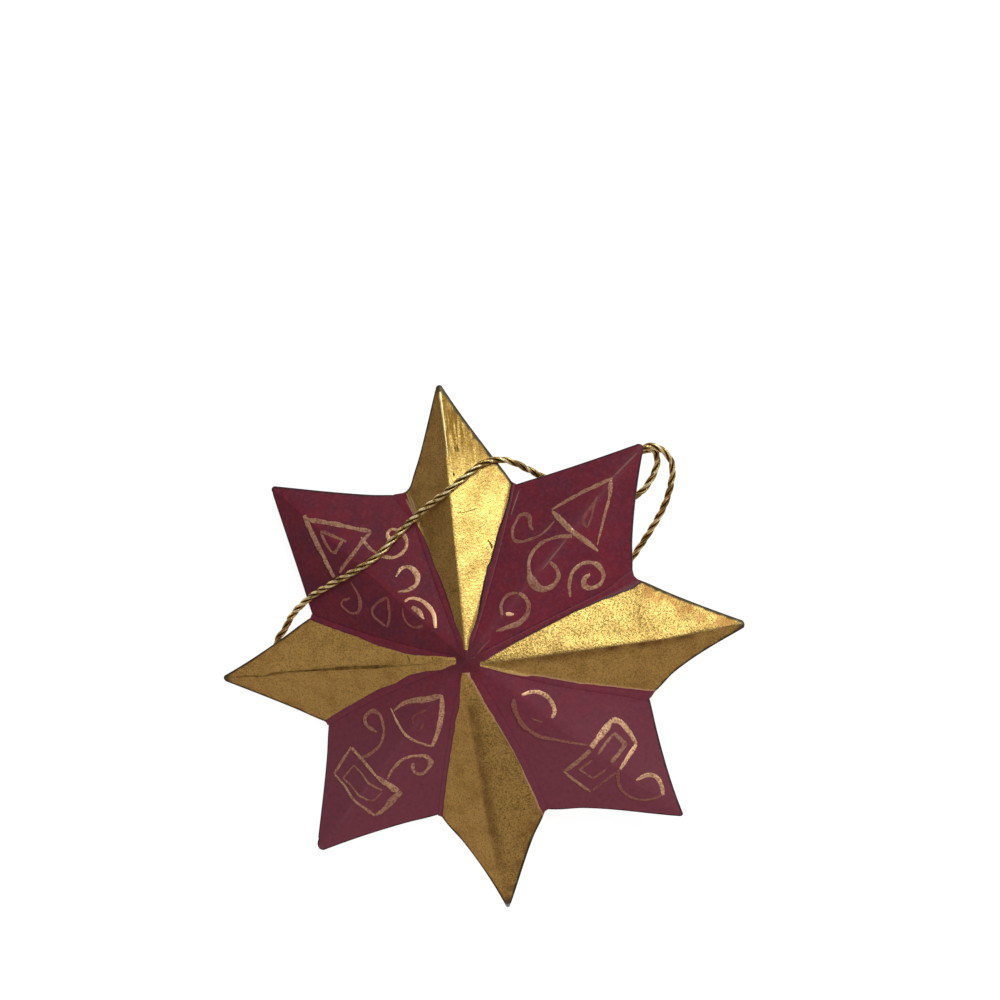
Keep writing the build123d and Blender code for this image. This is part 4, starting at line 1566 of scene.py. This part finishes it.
class STAR_OT_worn_and_highlight_lines(bpy.types.Operator):
    """Draw the cracks in the gold paint, the pale lines of rubbed edges, and painted highlights along folds
    and lap edges
    """

    bl_idname = "star.worn_lines"
    bl_label = "Cracks and Pale Lines"

    def execute(self, context):
        # Pale lines hold painted highlights as well as rubbed paint
        worn = {"cracks": (CRACKS, crack_paint()), "pale_lines_and_highlights": (PALE_LINES_AND_HIGHLIGHTS, pale_paint_and_highlight())}
        for name, (lines, material) in worn.items():
            drawn = draw_lines(name, lines, LINE_HEIGHT, material)
            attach(drawn, "root")
        return {"FINISHED"}


def route_points():
    """Points of the cord's middle line, read from its spline."""
    holder = curve_object("cord_route", "NURBS", [Vector(place) * MM for place in CORD_ROUTE])
    holder.data.resolution_u = ROUTE_STEPS
    spline = holder.data.splines[0]
    spline.order_u = 3
    spline.use_endpoint_u = True
    bpy.context.view_layer.update()
    line = bpy.data.meshes.new_from_object(holder)
    points = [vertex.co.copy() for vertex in line.vertices]
    bpy.data.meshes.remove(line)
    bpy.data.objects.remove(holder)
    return points


def run_lengths(points):
    """Length of the middle line up to each of its points."""
    runs = [0.0]
    for before, after in zip(points, points[1:]):
        runs.append(runs[-1] + (after - before).length)
    return runs


def carried_frames(points):
    """Middle line with two side directions at each point that turn as little as they can."""
    frames = []
    side = None
    for number, point in enumerate(points):
        ahead = points[min(number + 1, len(points) - 1)]
        behind = points[max(number - 1, 0)]
        forward = (ahead - behind).normalized()
        if side is None:
            side = forward.orthogonal().normalized()
        side = (side - forward * side.dot(forward)).normalized()
        frames.append((point, side, forward.cross(side)))
    return frames


def ply_tube(name, places, radius):
    """One ply as a tube along its places."""
    ply = curve_object(name, "POLY", places)
    ply.data.bevel_depth = radius
    ply.data.bevel_resolution = PLY_SIDES
    ply.data.use_fill_caps = True
    choose(ply)
    bpy.ops.object.convert(target="MESH")
    return ply


def twisted_plies(points, cord):
    """Twists the plies round the middle line and joins them."""
    ply_radius = cord.diameter / 2 / (1 + 1 / math.sin(math.pi / cord.plies))
    twist_radius = cord.diameter / 2 - ply_radius
    frames = carried_frames(points)
    runs = run_lengths(points)
    plies = []
    for number in range(cord.plies):
        places = []
        for (point, side, up), run in zip(frames, runs):
            turn = math.tau * (run / cord.lay + number / cord.plies)
            places.append(point + twist_radius * (math.cos(turn) * side + math.sin(turn) * up))
        plies.append(ply_tube("ply", places, ply_radius))
    rope = joined("twisted_cord", plies)
    bpy.ops.object.shade_smooth()
    return rope


def note_foil(rope, points, cord):
    """Keeps on the mesh how far out from the cord's middle a vertex is, and where its painted glints, dashes
    of painted highlight, lie.
    """
    tree = kdtree.KDTree(len(points))
    for number, point in enumerate(points):
        tree.insert(point, number)
    tree.balance()
    runs = run_lengths(points)
    attributes = rope.data.attributes
    for name in ("crown", "painted_glint"):
        attributes.new(name, "FLOAT", "POINT")
    for vertex in rope.data.vertices:
        _, number, away = tree.find(vertex.co)
        attributes["crown"].data[vertex.index].value = away / (cord.diameter / 2)
        share = number / len(points)
        painted_glint = [level for start, end, level in PAINTED_GLINTS if start <= share < end]
        is_dash = runs[number] / GLINT_STEP % 1 < GLINT_DASH
        attributes["painted_glint"].data[vertex.index].value = max(painted_glint, default=0.0) * is_dash


def knot_mesh(cord):
    """Wraps round two strands, with the leads to the slot."""
    direction = FIRST_ANGLE + CORD_POINT * POINT_STEP
    turn_place = STAR_PLACE @ Matrix.Rotation(direction, 4, "Z")
    radius = cord.diameter / 2
    wrap = KNOT_CORE * MM + radius * WRAP_BEDDING
    wraps = []
    for step in range(KNOT_WRAPS * KNOT_STEPS + 1):
        turn = math.tau * step / KNOT_STEPS
        along = (KNOT_PLACE - KNOT_HALF * cord.diameter / MM) * MM
        along += cord.diameter * step / KNOT_STEPS * WRAP_PITCH
        wraps.append(turn_place @ Vector((along, wrap * math.cos(turn), wrap * math.sin(turn))))
    tubes = [ply_tube("wrap", wraps, radius * WRAP_SHARE)]
    start = turn_place @ Vector(((KNOT_PLACE + LEAD_START) * MM, 0, 0))
    middle = turn_place @ Vector(((KNOT_PLACE + LEAD_BEND) * MM, 0, LEAD_DROP * MM))
    for end in (CORD_ROUTE[0], CORD_ROUTE[-1]):
        slot = Vector(end) * MM
        lead = [start, start.lerp(middle, 0.5), middle, middle.lerp(slot, 0.6), slot]
        tubes.append(ply_tube("lead", lead, radius * LEAD_SHARE))
    knot = joined("tied_knot", tubes)
    bpy.ops.object.shade_smooth()
    return knot


class STAR_OT_hanging_cord(bpy.types.Operator):
    """Twist the hanging cord along its route and tie its ends inside the point"""

    bl_idname = "star.hanging_cord"
    bl_label = "Hanging Cord"

    def execute(self, context):
        cord = context.scene.star_cord
        material = cord_foil(context.scene.star_colours)
        points = route_points()
        rope = twisted_plies(points, cord)
        note_foil(rope, points, cord)
        paint(rope, material)
        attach(rope, "root")
        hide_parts("hanging_cord")
        knot = knot_mesh(cord)
        paint(knot, material)
        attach(knot, "root")
        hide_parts("cord_knot")
        return {"FINISHED"}


def area_lamp(name, power, size, azimuth, off_vertical, distance):
    """Soft lamp aimed at the star's middle, from an azimuth and an angle off the vertical in degrees."""
    lamp = bpy.data.lights.new(name, "AREA")
    lamp.energy = power
    lamp.size = size
    holder = bpy.data.objects.new(name, lamp)
    bpy.context.collection.objects.link(holder)
    lean = math.radians(off_vertical)
    turn = math.radians(azimuth)
    direction = Vector((math.sin(lean) * math.cos(turn), math.sin(lean) * math.sin(turn), math.cos(lean)))
    holder.location = direction * distance
    holder.rotation_euler = direction.to_track_quat("Z", "Y").to_euler()
    return holder


class STAR_OT_stage(bpy.types.Operator):
    """Set the pale floor, the soft light and the photograph's camera"""

    bl_idname = "star.stage"
    bl_label = "Stage"

    def execute(self, context):
        scene = context.scene
        scene.view_settings.view_transform = "Standard"
        deselect()
        bpy.ops.mesh.primitive_plane_add(size=FLOOR_SIZE, location=(0, 0, 0))
        floor = bpy.context.object
        floor.name = "floor"
        paint(floor, floor_paper())

        world = bpy.data.worlds.new("studio")
        world.use_nodes = True
        sky = world.node_tree.nodes["Background"]
        sky.inputs["Color"].default_value = WHITE
        sky.inputs["Strength"].default_value = WORLD_LEVEL
        scene.world = world

        lamps = {name: area_lamp(name, **settings) for name, settings in LAMPS.items()}
        lamps["key"].data.color = KEY_COLOUR
        lamps["fill"].visible_glossy = False

        lens = bpy.data.cameras.new("camera")
        lens.sensor_width = SENSOR_WIDTH
        lens.lens = SENSOR_WIDTH * FOCAL_PIXELS / PICTURE
        lens.clip_start = CLIP_START
        camera = bpy.data.objects.new("camera", lens)
        bpy.context.collection.objects.link(camera)
        camera.location = CAMERA_PLACE
        scene.camera = camera
        return {"FINISHED"}


class STAR_PT_panel(bpy.types.Panel):
    """Builds the tin star piece by piece"""

    bl_label = "Painted Tin Star"
    bl_idname = "STAR_PT_panel"
    bl_space_type = "VIEW_3D"
    bl_region_type = "UI"
    bl_category = "Tin Star"

    def draw(self, context):
        for group in (context.scene.star_sizes, context.scene.star_colours, context.scene.star_cord):
            box = self.layout.box()
            for name in group.__annotations__:
                box.prop(group, name)
        for operator in OPERATORS:
            self.layout.operator(operator.bl_idname)


OPERATORS = (
    STAR_OT_burgundy_sheets,
    STAR_OT_gold_points,
    STAR_OT_scrolls,
    STAR_OT_worn_and_highlight_lines,
    STAR_OT_hanging_cord,
    STAR_OT_stage,
)
CLASSES = (StarSizes, StarColours, CordSizes) + OPERATORS + (STAR_PT_panel,)


def register():
    """Registers the classes and hangs the settings on the scene."""
    for cls in CLASSES:
        bpy.utils.register_class(cls)
    bpy.types.Scene.star_sizes = bpy.props.PointerProperty(type=StarSizes)
    bpy.types.Scene.star_colours = bpy.props.PointerProperty(type=StarColours)
    bpy.types.Scene.star_cord = bpy.props.PointerProperty(type=CordSizes)


def unregister():
    """Takes the settings and the classes away again."""
    del bpy.types.Scene.star_cord
    del bpy.types.Scene.star_colours
    del bpy.types.Scene.star_sizes
    for cls in reversed(CLASSES):
        bpy.utils.unregister_class(cls)


def main():
    """Builds the star, then its stage."""
    register()
    bpy.ops.star.burgundy_sheets()
    bpy.ops.star.gold_points()
    bpy.ops.star.scrolls()
    bpy.ops.star.worn_lines()
    bpy.ops.star.hanging_cord()
    bpy.ops.star.stage()


if __name__ == "__main__":
    main()
